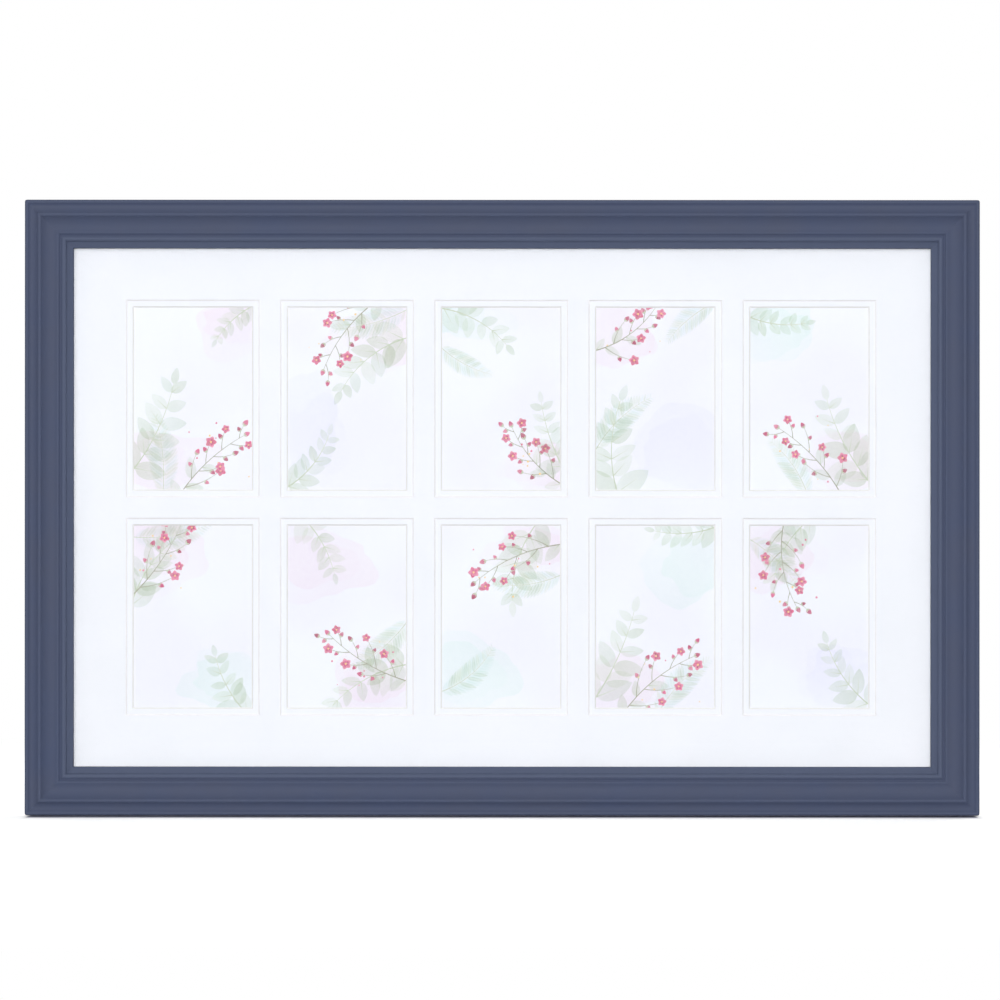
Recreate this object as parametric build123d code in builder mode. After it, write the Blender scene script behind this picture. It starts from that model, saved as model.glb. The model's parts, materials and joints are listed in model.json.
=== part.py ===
from build123d import *
import os
from math import asin, cos, degrees, radians, sin, sqrt, tan

# A collage photo frame: four mitred moulded rails round a pane of glass, two mats with a grid of
# windows, one photo card behind each window and a backing board. Turn buttons hold the board in,
# and ring hangers on two sides let the frame hang either way round.
#
# Millimetres. Seen from the front, +X runs right and +Z up. The front faces -Y, and the origin
# is the centre of the frame's back plane.

# Rails
rail_width = 38.5
rail_depth = 22
lip_cover = 6

# Front of the moulding from the outer edge to the sight edge. Each row is one member, an arc:
# where it ends across the rail's width, where it ends in the rail's depth, and how far it rises
# over its chord as a share of the depth, round where that is positive and hollow where negative.
side_height_share = 0.870
moulding_shares = [
    (0.080, 0.915, 0.034),
    (0.260, 0.960, -0.039),
    (0.352, 0.956, 0.042),
    (0.655, 0.834, -0.066),
    (0.706, 0.824, 0.013),
    (0.752, 0.796, -0.018),
    (0.856, 0.770, 0.045),
    (0.888, 0.708, -0.014),
    (0.974, 0.632, -0.008),
    (1.000, 0.560, 0.010),
]

# Contents of the rebate, from the front backwards. They lie off its middle by a share of their
# clearance, towards the left rail where that is negative.
glass_thickness = 2
mat_thickness = 1.2
card_thickness = 0.25
board_thickness = 3
side_clearance = 1
contents_shift_share = -0.9

# Windows in the mats, which set the size of the frame: 760 by 490 over all
window_columns = 5
window_rows = 2
window_width = 94
window_height = 145
mat_reveal = 5.2
window_gap = 18.6
side_margin = 43.3
end_margin = 41.8
bevel_angle = 45
card_overlap = 4

# V nails across the back of each mitre
nail_wing = 5.5
nail_thickness = 0.5
nail_height = 10
nail_spread = 55
nail_clearance = 0.05
nail_place_shares = [0.32, 0.7]

# Turn buttons
button_reach = 20
button_heel_radius = 5.5
button_tip_radius = 3.2
button_thickness = 0.9
button_inset = 8
button_lift_length = 4.5
button_lift_angle = 24
button_play = 0.1
long_rail_button_shares = [-0.38, 0, 0.38]
short_rail_button_shares = [-0.17, 0.17]

# Pan-head wood screws of the buttons and the hangers
screw_radius = 1.5
screw_head_radius = 3
screw_head_height = 1.9
screw_bite = 9
screw_point_length = 2.4
pilot_clearance = 0.05
screw_hole_clearance = 0.08

# Ring hangers: a strip folded round the ring's straight bar, under one screw
strap_width = 10
strap_thickness = 0.7
strap_length = 15.5
strap_corner_radius = 3.5
strap_screw_distance = 8.2
strap_closing_angle = 140
wire_radius = 1.25
eye_clearance = 0.08
ring_inner_width = 12.5
ring_inner_reach = 12.5
ring_bend_radius = 2
ring_rest_gap = 0.3
top_rail_hanger_shares = [-0.22, 0.22]
left_rail_hanger_shares = [-0.32, 0.32]

# Every cut runs this far past the solid it leaves
overrun = 1

# Derived from the sizes above
opening_width = window_width + 2 * mat_reveal
opening_height = window_height + 2 * mat_reveal
window_pitch_x = opening_width + window_gap
window_pitch_z = opening_height + window_gap
sight_length = window_columns * window_pitch_x - window_gap + 2 * side_margin
sight_height = window_rows * window_pitch_z - window_gap + 2 * end_margin
frame_length = sight_length + 2 * rail_width
frame_height = sight_height + 2 * rail_width
contents_length = sight_length + 2 * (lip_cover - side_clearance)
contents_height = sight_height + 2 * (lip_cover - side_clearance)
contents_middle = (contents_shift_share * side_clearance, 0, 0)
contents_plane = Plane(origin=contents_middle, x_dir=(1, 0, 0), z_dir=(0, -1, 0))
back_width = rail_width - lip_cover
rebate_depth = glass_thickness + 2 * mat_thickness + card_thickness + board_thickness
pilot_radius = screw_radius + pilot_clearance
strap_top = 2 * strap_thickness
eye_radius = wire_radius + eye_clearance
pivot_height = strap_thickness + eye_radius
ring_reach = ring_inner_reach + wire_radius
ring_lean = degrees(asin((pivot_height - wire_radius - ring_rest_gap) / ring_reach))
hanger_length = ring_reach + wire_radius + strap_length
hanger_inset = (back_width - hanger_length) / 2 + ring_reach + wire_radius
button_pivot_inset = back_width - button_inset

# Directions seen from the front: outward from the frame's middle, in X and Z
outward_directions = {"top": (0, 1), "bottom": (0, -1), "left": (-1, 0), "right": (1, 0)}
corner_signs = [(-1, 1), (1, 1), (1, -1), (-1, -1)]

os.makedirs("parts", exist_ok=True)


def save(part, label):
    """Label a finished piece and write it to its own file."""
    part.label = label
    export_step(part, f"parts/{label}.step")


def edge_point(side, inset, along):
    """Point on the back plane, inset from a side's outer edge and shifted along that side."""
    across_x, across_z = outward_directions[side]
    x = across_x * (frame_length / 2 - inset) + abs(across_z) * along
    z = across_z * (frame_height / 2 - inset) + abs(across_x) * along
    return Vector(x, 0, z)


def side_length(side):
    """Length of a side's outer edge."""
    return frame_length if side in ("top", "bottom") else frame_height


def button_points(side):
    """Where the turn buttons of one rail turn, on the back plane."""
    shares = long_rail_button_shares if side in ("top", "bottom") else short_rail_button_shares
    return [edge_point(side, button_pivot_inset, share * side_length(side)) for share in shares]


def hanger_points(side):
    """Where the rings of one rail's hangers turn, on the back plane."""
    shares = {"top": top_rail_hanger_shares, "left": left_rail_hanger_shares}.get(side, [])
    return [edge_point(side, hanger_inset, share * side_length(side)) for share in shares]


def hanger_screw_points(side):
    """Where the hangers of one rail are screwed down, on the back plane."""
    shift = outward_vector(side) * -strap_screw_distance
    return [point + shift for point in hanger_points(side)]


def outward_vector(side):
    """Unit vector from the frame's middle to one side."""
    across_x, across_z = outward_directions[side]
    return Vector(across_x, 0, across_z)


def mitre_plane(corner):
    """Plane on the back of one corner: its X runs in along the mitre, its Z runs forward."""
    sign_x, sign_z = corner
    origin = (sign_x * frame_length / 2, 0, sign_z * frame_height / 2)
    return Plane(origin=origin, x_dir=(-sign_x, 0, -sign_z), z_dir=(0, -1, 0))


def draw_nails(thickness):
    """Sections of one corner's V nails on its mitre plane: two wings spread from each joint."""
    mitre_length = back_width * sqrt(2)
    with Locations(*[(share * mitre_length, 0) for share in nail_place_shares]):
        Circle(thickness / 2)
        for spread in (nail_spread, -nail_spread):
            Rectangle(nail_wing, thickness, rotation=spread, align=(Align.MIN, Align.CENTER))


def draw_moulding():
    """Outline of a rail's section: X runs in from the outer edge, Y forward from the back."""
    here = Vector(0, side_height_share * rail_depth)
    Line((0, 0), here)
    for width_share, height_share, rise_share in moulding_shares:
        there = Vector(width_share * rail_width, height_share * rail_depth)
        SagittaArc(here, there, rise_share * rail_depth)
        here = there
    Polyline(here, (rail_width, rebate_depth), (back_width, rebate_depth), (back_width, 0), (0, 0))


def make_rail(side):
    """One rail: the moulding's section run along the side, mitred, slotted and drilled."""
    outward = outward_vector(side)
    middle = edge_point(side, 0, 0)
    section = Plane(origin=middle, x_dir=-outward, z_dir=(-outward).cross(Vector(0, -1, 0)))
    corners = [corner for corner in corner_signs if outward.dot(Vector(corner[0], 0, corner[1])) > 0]
    drill_points = button_points(side) + hanger_screw_points(side)

    with BuildPart() as rail:
        with BuildSketch(section):
            with BuildLine():
                draw_moulding()
            make_face()
        extrude(amount=side_length(side) / 2, both=True)

        for corner in corners:
            corner_vector = Vector(corner[0], 0, corner[1])
            cut = Plane(origin=mitre_plane(corner).origin, z_dir=outward * 2 - corner_vector)
            split(bisect_by=cut, keep=Keep.TOP)
            with BuildSketch(mitre_plane(corner)):
                draw_nails(nail_thickness + 2 * nail_clearance)
            extrude(amount=nail_height + nail_clearance, mode=Mode.SUBTRACT)

        with BuildSketch(Plane.XZ):
            with Locations(*[(point.X, point.Z) for point in drill_points]):
                Circle(pilot_radius)
        extrude(amount=screw_bite + pilot_clearance, mode=Mode.SUBTRACT)
    save(rail.part, f"{side}_rail")


def make_corner_nails():
    """The V nails that pull the mitres together, driven flush with the back."""
    with BuildPart() as nails:
        for corner in corner_signs:
            with BuildSketch(mitre_plane(corner)):
                draw_nails(nail_thickness)
            extrude(amount=nail_height)
    save(nails.part, "corner_v_nails")


def make_sheet(label, distance, thickness):
    """A plain sheet that fills the rebate, its back face a distance forward of the back plane."""
    with BuildPart() as sheet:
        with BuildSketch(contents_plane.offset(distance)):
            Rectangle(contents_length, contents_height)
        extrude(amount=thickness)
    save(sheet.part, label)


def make_mat(label, distance, opening_width, opening_height):
    """A mat with a grid of windows, each bevelled so that it opens towards the front."""
    with BuildPart() as mat:
        with BuildSketch(contents_plane.offset(distance)):
            Rectangle(contents_length, contents_height)
        extrude(amount=mat_thickness)
        with BuildSketch(contents_plane.offset(distance)):
            with GridLocations(window_pitch_x, window_pitch_z, window_columns, window_rows):
                Rectangle(opening_width, opening_height)
        extrude(amount=mat_thickness, taper=-bevel_angle, mode=Mode.SUBTRACT)
    save(mat.part, label)


def make_photo_cards():
    """One card behind each window, counted along the top row and then the bottom row."""
    number = 0
    for row in range(window_rows):
        for column in range(window_columns):
            number += 1
            x = (column - (window_columns - 1) / 2) * window_pitch_x
            z = ((window_rows - 1) / 2 - row) * window_pitch_z
            with BuildPart() as card:
                with BuildSketch(contents_plane.offset(board_thickness)):
                    with Locations((x, z)):
                        Rectangle(window_width + 2 * card_overlap, window_height + 2 * card_overlap)
                extrude(amount=card_thickness)
            save(card.part, f"photo_card_{number}")


def make_button(label, pivot, inward):
    """A stamped turn button lying over the board, its tip lifted for a fingernail."""
    strip_middle = button_play + button_thickness / 2
    lift_start = button_reach - button_lift_length
    lift_run = button_lift_length + overrun
    lift_rise = lift_run * tan(radians(button_lift_angle))
    side_plane = Plane(origin=pivot, x_dir=inward, z_dir=inward.cross(Vector(0, 1, 0)))
    flat_plane = Plane(origin=pivot, x_dir=inward, z_dir=(0, 1, 0))
    with BuildPart() as button:
        with BuildSketch(side_plane):
            with BuildLine():
                Polyline(
                    (-button_heel_radius - overrun, strip_middle),
                    (lift_start, strip_middle),
                    (lift_start + lift_run, strip_middle + lift_rise),
                )
            trace(line_width=button_thickness)
        extrude(amount=button_heel_radius + overrun, both=True)
        with BuildSketch(flat_plane):
            Circle(button_heel_radius)
            with Locations((button_reach - button_tip_radius, 0)):
                Circle(button_tip_radius)
            make_hull()
            Circle(screw_radius + screw_hole_clearance, mode=Mode.SUBTRACT)
        extrude(amount=button_reach, mode=Mode.INTERSECT)
    save(button.part, label)


def draw_screw(seat_height):
    """Half section of a pan-head screw: X runs out from its axis, Y backwards from the wood."""
    crown = (0, seat_height + screw_head_height)
    rim = (screw_head_radius, seat_height + screw_head_height / 2)
    Polyline(
        crown,
        (0, -screw_bite),
        (screw_radius, screw_point_length - screw_bite),
        (screw_radius, seat_height),
        (screw_head_radius, seat_height),
        rim,
    )
    TangentArc(crown, rim, tangent=(1, 0))


def make_screws(label, points, seat_height):
    """A group of like screws, one at each point, their heads seated a height off the back."""
    with BuildPart() as screws:
        for point in points:
            with BuildSketch(Plane(origin=point, x_dir=(1, 0, 0), z_dir=(0, 0, 1))):
                with BuildLine():
                    draw_screw(seat_height)
                make_face()
            revolve(axis=Axis(point, (0, 1, 0)))
    save(screws.part, label)


def make_strap(label, pivot, outward):
    """A hanger's strip: flat on the rail, round the ring's bar and back down onto itself."""
    side_plane = Plane(origin=pivot, x_dir=outward, z_dir=outward.cross(Vector(0, 1, 0)))
    flat_plane = Plane(origin=pivot, x_dir=outward, z_dir=(0, 1, 0))
    closing = radians(strap_closing_angle)
    eye_turn = 90 + strap_closing_angle
    outer = Vector(cos(closing), 1 + sin(closing)) * pivot_height
    inner = Vector(0, pivot_height) + Vector(cos(closing), sin(closing)) * eye_radius
    outer_foot = (outer.X + (outer.Y - strap_top) * tan(closing), strap_top)
    inner_foot = (inner.X + (inner.Y - strap_thickness) * tan(closing), strap_thickness)
    with BuildPart() as strap:
        with BuildSketch(side_plane):
            with BuildLine():
                Line((-strap_length, 0), (0, 0))
                CenterArc((0, pivot_height), pivot_height, -90, eye_turn)
                Polyline(outer, outer_foot, (-strap_length, strap_top), (-strap_length, 0))
            make_face()
            with BuildLine():
                Line(inner_foot, (0, strap_thickness))
                CenterArc((0, pivot_height), eye_radius, -90, eye_turn)
                Line(inner, inner_foot)
            make_face(mode=Mode.SUBTRACT)
        extrude(amount=strap_width / 2 + overrun, both=True)
        with BuildSketch(flat_plane):
            with Locations((-strap_length, 0)):
                RectangleRounded(
                    strap_length + pivot_height + strap_corner_radius + overrun,
                    strap_width,
                    strap_corner_radius,
                    align=(Align.MIN, Align.CENTER),
                )
            with Locations((-strap_screw_distance, 0)):
                Circle(screw_radius + screw_hole_clearance, mode=Mode.SUBTRACT)
        extrude(amount=pivot_height * 2, mode=Mode.INTERSECT)
    save(strap.part, label)


def make_ring(label, pivot, outward):
    """A hanger's bent wire ring, its straight bar in the eye, leaning back onto the rail."""
    lean = radians(ring_lean)
    backward = Vector(0, 1, 0)
    along = outward * cos(lean) - backward * sin(lean)
    normal = backward * cos(lean) + outward * sin(lean)
    plane = Plane(origin=pivot + backward * pivot_height, x_dir=along, z_dir=normal)
    half = ring_inner_width / 2 + wire_radius
    bow = ring_reach - half
    bend = ring_bend_radius
    with BuildPart() as ring:
        with BuildLine(plane) as path:
            Line((0, bend - half), (0, half - bend))
            CenterArc((bend, half - bend), bend, 180, -90)
            Line((bend, half), (bow, half))
            CenterArc((bow, 0), half, 90, -180)
            Line((bow, -half), (bend, -half))
            CenterArc((bend, bend - half), bend, 270, -90)
        wire = path.line.wires()[0]
        with BuildSketch(Plane(origin=wire @ 0, z_dir=wire % 0)):
            Circle(wire_radius)
        sweep(path=wire)
    save(ring.part, label)


for side in outward_directions:
    make_rail(side)
make_corner_nails()

make_sheet("backing_board", 0, board_thickness)
make_photo_cards()
bottom_mat_back = board_thickness + card_thickness
top_mat_back = bottom_mat_back + mat_thickness
make_mat("bottom_mat", bottom_mat_back, window_width, window_height)
make_mat("top_mat", top_mat_back, opening_width, opening_height)
make_sheet("glass_pane", top_mat_back + mat_thickness, glass_thickness)

for side in outward_directions:
    for number, point in enumerate(button_points(side), start=1):
        make_button(f"turn_button_{side}_{number}", point, -outward_vector(side))
all_button_points = [point for side in outward_directions for point in button_points(side)]
make_screws("turn_button_screws", all_button_points, button_thickness + 2 * button_play)

for side in ("top", "left"):
    for number, point in enumerate(hanger_points(side), start=1):
        make_strap(f"hanger_strap_{side}_{number}", point, outward_vector(side))
        make_ring(f"hanger_ring_{side}_{number}", point, outward_vector(side))
all_hanger_points = [point for side in ("top", "left") for point in hanger_screw_points(side)]
make_screws("hanger_screws", all_hanger_points, strap_top)
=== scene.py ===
"""Looks of a collage photo frame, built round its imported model.

Metres. Seen from the front, +X runs right and +Z up, and the front faces -Y. Each sub-assembly is a
class with its own sizes, which builds its pieces, dresses them and sets them on the CAD body they
move with. Each finish is a small frozen class that makes one material.
"""

import json
import logging
import math
import random
from collections.abc import Callable, Iterable, Iterator, Sequence
from dataclasses import dataclass
from enum import Enum
from functools import cache, partial

import bmesh
import bpy
import numpy as np
from bmesh.types import BMesh
from bpy.types import ID, Material, Mesh, Node, NodeSocket, NodeTree, Object
from mathutils import Matrix, Vector, noise
from mathutils.geometry import delaunay_2d_cdt


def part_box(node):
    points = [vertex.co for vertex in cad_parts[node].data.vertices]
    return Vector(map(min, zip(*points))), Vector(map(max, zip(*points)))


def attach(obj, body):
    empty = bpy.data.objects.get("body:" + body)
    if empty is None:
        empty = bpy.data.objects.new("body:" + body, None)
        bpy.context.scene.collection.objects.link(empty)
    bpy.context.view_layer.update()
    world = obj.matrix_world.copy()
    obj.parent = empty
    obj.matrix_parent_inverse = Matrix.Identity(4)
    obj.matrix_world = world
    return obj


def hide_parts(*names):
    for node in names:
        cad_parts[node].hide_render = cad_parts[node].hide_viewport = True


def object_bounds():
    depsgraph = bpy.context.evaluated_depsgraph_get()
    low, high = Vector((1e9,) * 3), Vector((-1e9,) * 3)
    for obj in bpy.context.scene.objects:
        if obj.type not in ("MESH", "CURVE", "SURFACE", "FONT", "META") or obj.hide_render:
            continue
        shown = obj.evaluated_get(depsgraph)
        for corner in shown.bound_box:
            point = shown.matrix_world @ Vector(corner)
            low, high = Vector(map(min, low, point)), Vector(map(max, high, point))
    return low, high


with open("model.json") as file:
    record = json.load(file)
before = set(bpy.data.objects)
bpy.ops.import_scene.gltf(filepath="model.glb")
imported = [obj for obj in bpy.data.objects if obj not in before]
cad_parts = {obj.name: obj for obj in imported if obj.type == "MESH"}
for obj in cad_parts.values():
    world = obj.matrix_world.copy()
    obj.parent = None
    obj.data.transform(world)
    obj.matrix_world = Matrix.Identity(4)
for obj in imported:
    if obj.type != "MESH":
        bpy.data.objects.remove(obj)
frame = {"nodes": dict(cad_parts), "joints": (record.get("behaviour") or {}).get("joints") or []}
CAD_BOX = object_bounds()

LOG = logging.getLogger("collage_frame")
MM = 0.001
AWAY = Vector((0, 1, 0))
STATIC_BODY = "frame"
HARDWARE_EDGE = 30
SCREW_HOLE = 1.58 * MM
WHITE = (1, 1, 1)

Colour = tuple[float, float, float]
Span = tuple[float, float]
Point = Sequence[float]
Maker = Callable[[], NodeTree]


def srgb(red: int, green: int, blue: int) -> Colour:
    """Linear levels from 0 to 1 of a screen colour, whose levels go from 0 to 255."""
    levels = (level / 255 for level in (red, green, blue))
    return tuple(v / 12.92 if v <= 0.04045 else ((v + 0.055) / 1.055) ** 2.4 for v in levels)


def lighter(tone: Colour, share: float) -> Colour:
    """A tone taken part of the way to white."""
    return tuple(v + (1 - v) * share for v in tone)


class Side(Enum):
    """The four rails, each with its direction outward from the middle, in X and Z."""

    TOP = (0, 1)
    BOTTOM = (0, -1)
    LEFT = (-1, 0)
    RIGHT = (1, 0)

    @property
    def label(self) -> str:
        """The side's name, as the CAD nodes have it."""
        return self.name.lower()

    @property
    def outward(self) -> Vector:
        """Unit vector from the frame's middle to this side."""
        return Vector((self.value[0], 0, self.value[1]))

    @property
    def along(self) -> Vector:
        """Unit vector along this side, to the right or up."""
        return Vector((abs(self.value[1]), 0, abs(self.value[0])))


# Node trees


class Graph:
    """A node tree being drawn up, for a material, a group or geometry."""

    def __init__(self, tree: NodeTree) -> None:
        """Start on an empty tree."""
        self.tree = tree
        tree.nodes.clear()

    @staticmethod
    def socket(sockets: Iterable[NodeSocket], key: str | int) -> NodeSocket:
        """Find a socket in use.

        Args:
            sockets: a node's inputs or outputs.
            key: the socket's name, or its number among those in use.

        Returns:
            The socket.
        """
        in_use = [socket for socket in sockets if socket.enabled]
        if isinstance(key, int):
            return in_use[key]
        return next(socket for socket in in_use if socket.name == key)

    def feed(self, socket: NodeSocket, value: object) -> None:
        """Give a socket a link or a plain value.

        Args:
            socket: the input to feed.
            value: a node or an output socket to link, or a number, colour, vector or datablock.
        """
        if isinstance(value, Node):
            value = self.socket(value.outputs, 0)
        if isinstance(value, NodeSocket):
            self.tree.links.new(value, socket)
        elif socket.type == "RGBA" and len(value) == 3:
            socket.default_value = (*value, 1)
        else:
            socket.default_value = value

    def add(self, kind: str, inputs: dict | None = None, **settings: object) -> Node:
        """Add a node of any family.

        Args:
            kind: the node's type.
            inputs: what feeds its sockets, by name or number.
            settings: the node's own settings.

        Returns:
            The node.
        """
        node = self.tree.nodes.new(kind)
        for name, value in settings.items():
            setattr(node, name, value)
        for key, value in (inputs or {}).items():
            self.feed(self.socket(node.inputs, key), value)
        return node

    def node(self, kind: str, inputs: dict | None = None, **settings: object) -> Node:
        """Add a shader or arithmetic node."""
        return self.add(f"ShaderNode{kind}", inputs, **settings)

    def step(self, kind: str, inputs: dict | None = None, **settings: object) -> Node:
        """Add a Geometry Nodes step."""
        return self.add(f"GeometryNode{kind}", inputs, **settings)

    def out(self, node: Node, key: str | int) -> NodeSocket:
        """One output of a node, by name or number."""
        return self.socket(node.outputs, key)

    def math(self, operation: str, *values: object) -> Node:
        """Add arithmetic on numbers."""
        return self.node("Math", dict(enumerate(values)), operation=operation)

    def vector(self, operation: str, *values: object) -> Node:
        """Add arithmetic on vectors."""
        return self.node("VectorMath", dict(enumerate(values)), operation=operation)

    def scaled(self, vector: object, factor: object) -> Node:
        """Add a vector times a number."""
        return self.node("VectorMath", {"Vector": vector, "Scale": factor}, operation="SCALE")

    def joined(self, *values: object) -> Node:
        """Add a vector made of its three numbers."""
        return self.node("CombineXYZ", dict(enumerate(values)))

    def axis(self, vector: object, name: str) -> NodeSocket:
        """Add a reading of one of a vector's three numbers."""
        return self.out(self.node("SeparateXYZ", {0: vector}), name)

    def blend(self, first: object, second: object, share: object) -> Node:
        """Add a mix of two colours, all of the second where the share is 1."""
        return self.node("Mix", {"Factor": share, "A": first, "B": second}, data_type="RGBA")

    def ramp(
        self, value: object, low: float, high: float, start: float = 0, end: float = 1
    ) -> Node:
        """Add a clamped smooth rise from start to end as a value goes from low to high."""
        inputs = {"Value": value, "From Min": low, "From Max": high, "To Min": start, "To Max": end}
        return self.node("MapRange", inputs, interpolation_type="SMOOTHSTEP")

    def lerp(self, value: object, start: float, end: float) -> Node:
        """Add a straight rise from start to end as a value goes from 0 to 1."""
        return self.node("MapRange", {"Value": value, "To Min": start, "To Max": end})

    def noise(self, place: object, scale: object, detail: float, roughness: float = 0.5) -> Node:
        """Add a noise pattern."""
        inputs = {"Vector": place, "Scale": scale, "Detail": detail, "Roughness": roughness}
        return self.node("TexNoise", inputs)

    def contrasted(self, pattern: object, contrast: object) -> Node:
        """Add more contrast to a pattern about its middle, held between 0 and 1."""
        spread = self.math("MULTIPLY_ADD", self.math("SUBTRACT", pattern, 0.5), contrast, 0.5)
        return self.math("MINIMUM", self.math("MAXIMUM", spread, 0.0), 1.0)

    def attribute(self, name: str, output: str = "Fac") -> NodeSocket:
        """Add a shader's reading of an attribute."""
        return self.out(self.node("Attribute", attribute_name=name), output)

    def stored(self, name: str) -> Node:
        """Add a reading of a number stored on the points."""
        return self.step("InputNamedAttribute", {"Name": name}, data_type="FLOAT")

    def store(self, geometry: object, name: str, value: object, kind: str = "FLOAT") -> Node:
        """Add a step that stores a value on the points."""
        inputs = {"Geometry": geometry, "Name": name, "Value": value}
        return self.step("StoreNamedAttribute", inputs, data_type=kind, domain="POINT")

    def effect(self, build: Maker, place: object, **values: float) -> Node:
        """Add one of the shared patterns, read at a place, with its own values."""
        return self.node("Group", {"Vector": place, **values}, node_tree=build())

    def close(self, result: object) -> NodeTree:
        """End a group with its one result, and give its tree."""
        self.feed(self.add("NodeGroupOutput").inputs[0], result)
        return self.tree

    def close_shape(self, geometry: object, finish: object) -> NodeTree:
        """End a Geometry Nodes group with real meshes in their finish, and give its tree."""
        real = self.step("RealizeInstances", {"Geometry": geometry})
        return self.close(self.step("SetMaterial", {"Geometry": real, "Material": finish}))


class GroupKind(Enum):
    """Kinds of node group: the tree's type, and the name and type of its first input and its output."""

    PATTERN = ("ShaderNodeTree", ("Vector", "NodeSocketVector"), ("Value", "NodeSocketFloat"))
    SHAPE = ("GeometryNodeTree", ("Geometry", "NodeSocketGeometry"), ("Geometry", "NodeSocketGeometry"))


SOCKET_TYPES = {float: "NodeSocketFloat", int: "NodeSocketInt", tuple: "NodeSocketVector"}


def new_group(name: str, kind: GroupKind, inputs: dict) -> tuple[Graph, dict[str, NodeSocket]]:
    """Open a node group.

    Args:
        name: the group's name.
        kind: what it works on.
        inputs: default value of each further input by name, or the socket's type where it has none.

    Returns:
        The group's graph, and its inputs' sockets by name.
    """
    tree_type, (first, first_type), (result, result_type) = kind.value
    tree = bpy.data.node_groups.new(name, tree_type)
    for label, value in {first: first_type, **inputs}.items():
        socket_type = value if isinstance(value, str) else SOCKET_TYPES[type(value)]
        socket = tree.interface.new_socket(name=label, in_out="INPUT", socket_type=socket_type)
        if not isinstance(value, str):
            socket.default_value = value
    tree.interface.new_socket(name=result, in_out="OUTPUT", socket_type=result_type)
    graph = Graph(tree)
    start = graph.add("NodeGroupInput")
    return graph, {label: start.outputs[label] for label in (first, *inputs)}


class Effects:
    """Patterns that more than one finish uses, each a shader group built once."""

    @staticmethod
    @cache
    def streaks() -> NodeTree:
        """Lines drawn out one way, as brush marks, wood grain and rolling marks are.

        Returns:
            The group.
        """
        inputs = {"Along": 10.0, "Across": 1000.0, "Contrast": 1.0}
        graph, given = new_group("streaks", GroupKind.PATTERN, inputs)
        stretch = graph.joined(given["Along"], given["Across"], given["Across"])
        stretched = graph.vector("MULTIPLY", given["Vector"], stretch)
        lines = graph.noise(stretched, 1.0, detail=3.0, roughness=0.6)
        return graph.close(graph.contrasted(lines, given["Contrast"]))

    @staticmethod
    @cache
    def mottle() -> NodeTree:
        """Soft patches with finer patches in them, as uneven paint, paper and plating show.

        Returns:
            The group.
        """
        graph, given = new_group("mottle", GroupKind.PATTERN, {"Scale": 30.0, "Contrast": 1.0})
        patches = graph.noise(given["Vector"], given["Scale"], detail=4.0, roughness=0.55)
        return graph.close(graph.contrasted(patches, given["Contrast"]))

    @staticmethod
    @cache
    def fibres() -> NodeTree:
        """Short matted fibres lying all ways, as in paper, card and hardboard.

        Returns:
            The group.
        """
        warp_scale, warp, drawn_out = 120.0, 0.004, 0.16
        graph, given = new_group("fibres", GroupKind.PATTERN, {"Scale": 900.0})
        push = graph.noise(given["Vector"], warp_scale, detail=1.0)
        pushed = graph.scaled(graph.out(push, "Color"), warp)
        bent = graph.vector("ADD", given["Vector"], pushed)
        height = 0.0
        for turn in (0.3, 1.35, 2.4):
            inputs = {"Vector": bent, "Angle": turn, "Axis": (0, 1, 0)}
            turned = graph.node("VectorRotate", inputs, rotation_type="AXIS_ANGLE")
            drawn = graph.vector("MULTIPLY", turned, (drawn_out, 1, 1))
            lay = graph.noise(drawn, given["Scale"], detail=2.0)
            height = graph.math("MAXIMUM", lay, height)
        return graph.close(graph.ramp(height, low=0.45, high=0.8))


def new_material(name: str) -> tuple[Material, Graph, NodeSocket]:
    """Open a material.

    Args:
        name: the material's name.

    Returns:
        The material, its graph and its Object coordinates.
    """
    material = bpy.data.materials.new(name)
    material.use_nodes = True
    graph = Graph(material.node_tree)
    return material, graph, graph.out(graph.node("TexCoord"), "Object")


def show(graph: Graph, shader: Node) -> None:
    """Make a shader the surface that a material shows."""
    graph.node("OutputMaterial", {"Surface": shader})


def show_surface(graph: Graph, finish: object, height: object, colour: object, **inputs: object) -> None:
    """Finish a material with a Principled surface and fine relief.

    Args:
        graph: the material's graph.
        finish: the finish, which knows how deep its relief is and how glossy the surface.
        height: relief from 0 to 1.
        colour: base colour.
        inputs: what else feeds the surface, by input name.
    """
    bump = graph.node("Bump", {"Strength": 1.0, "Distance": finish.relief, "Height": height})
    plain = {"Base Color": colour, "Specular IOR Level": finish.specular, "Normal": bump}
    show(graph, graph.node("BsdfPrincipled", {**plain, **inputs}))


# Finishes


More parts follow.
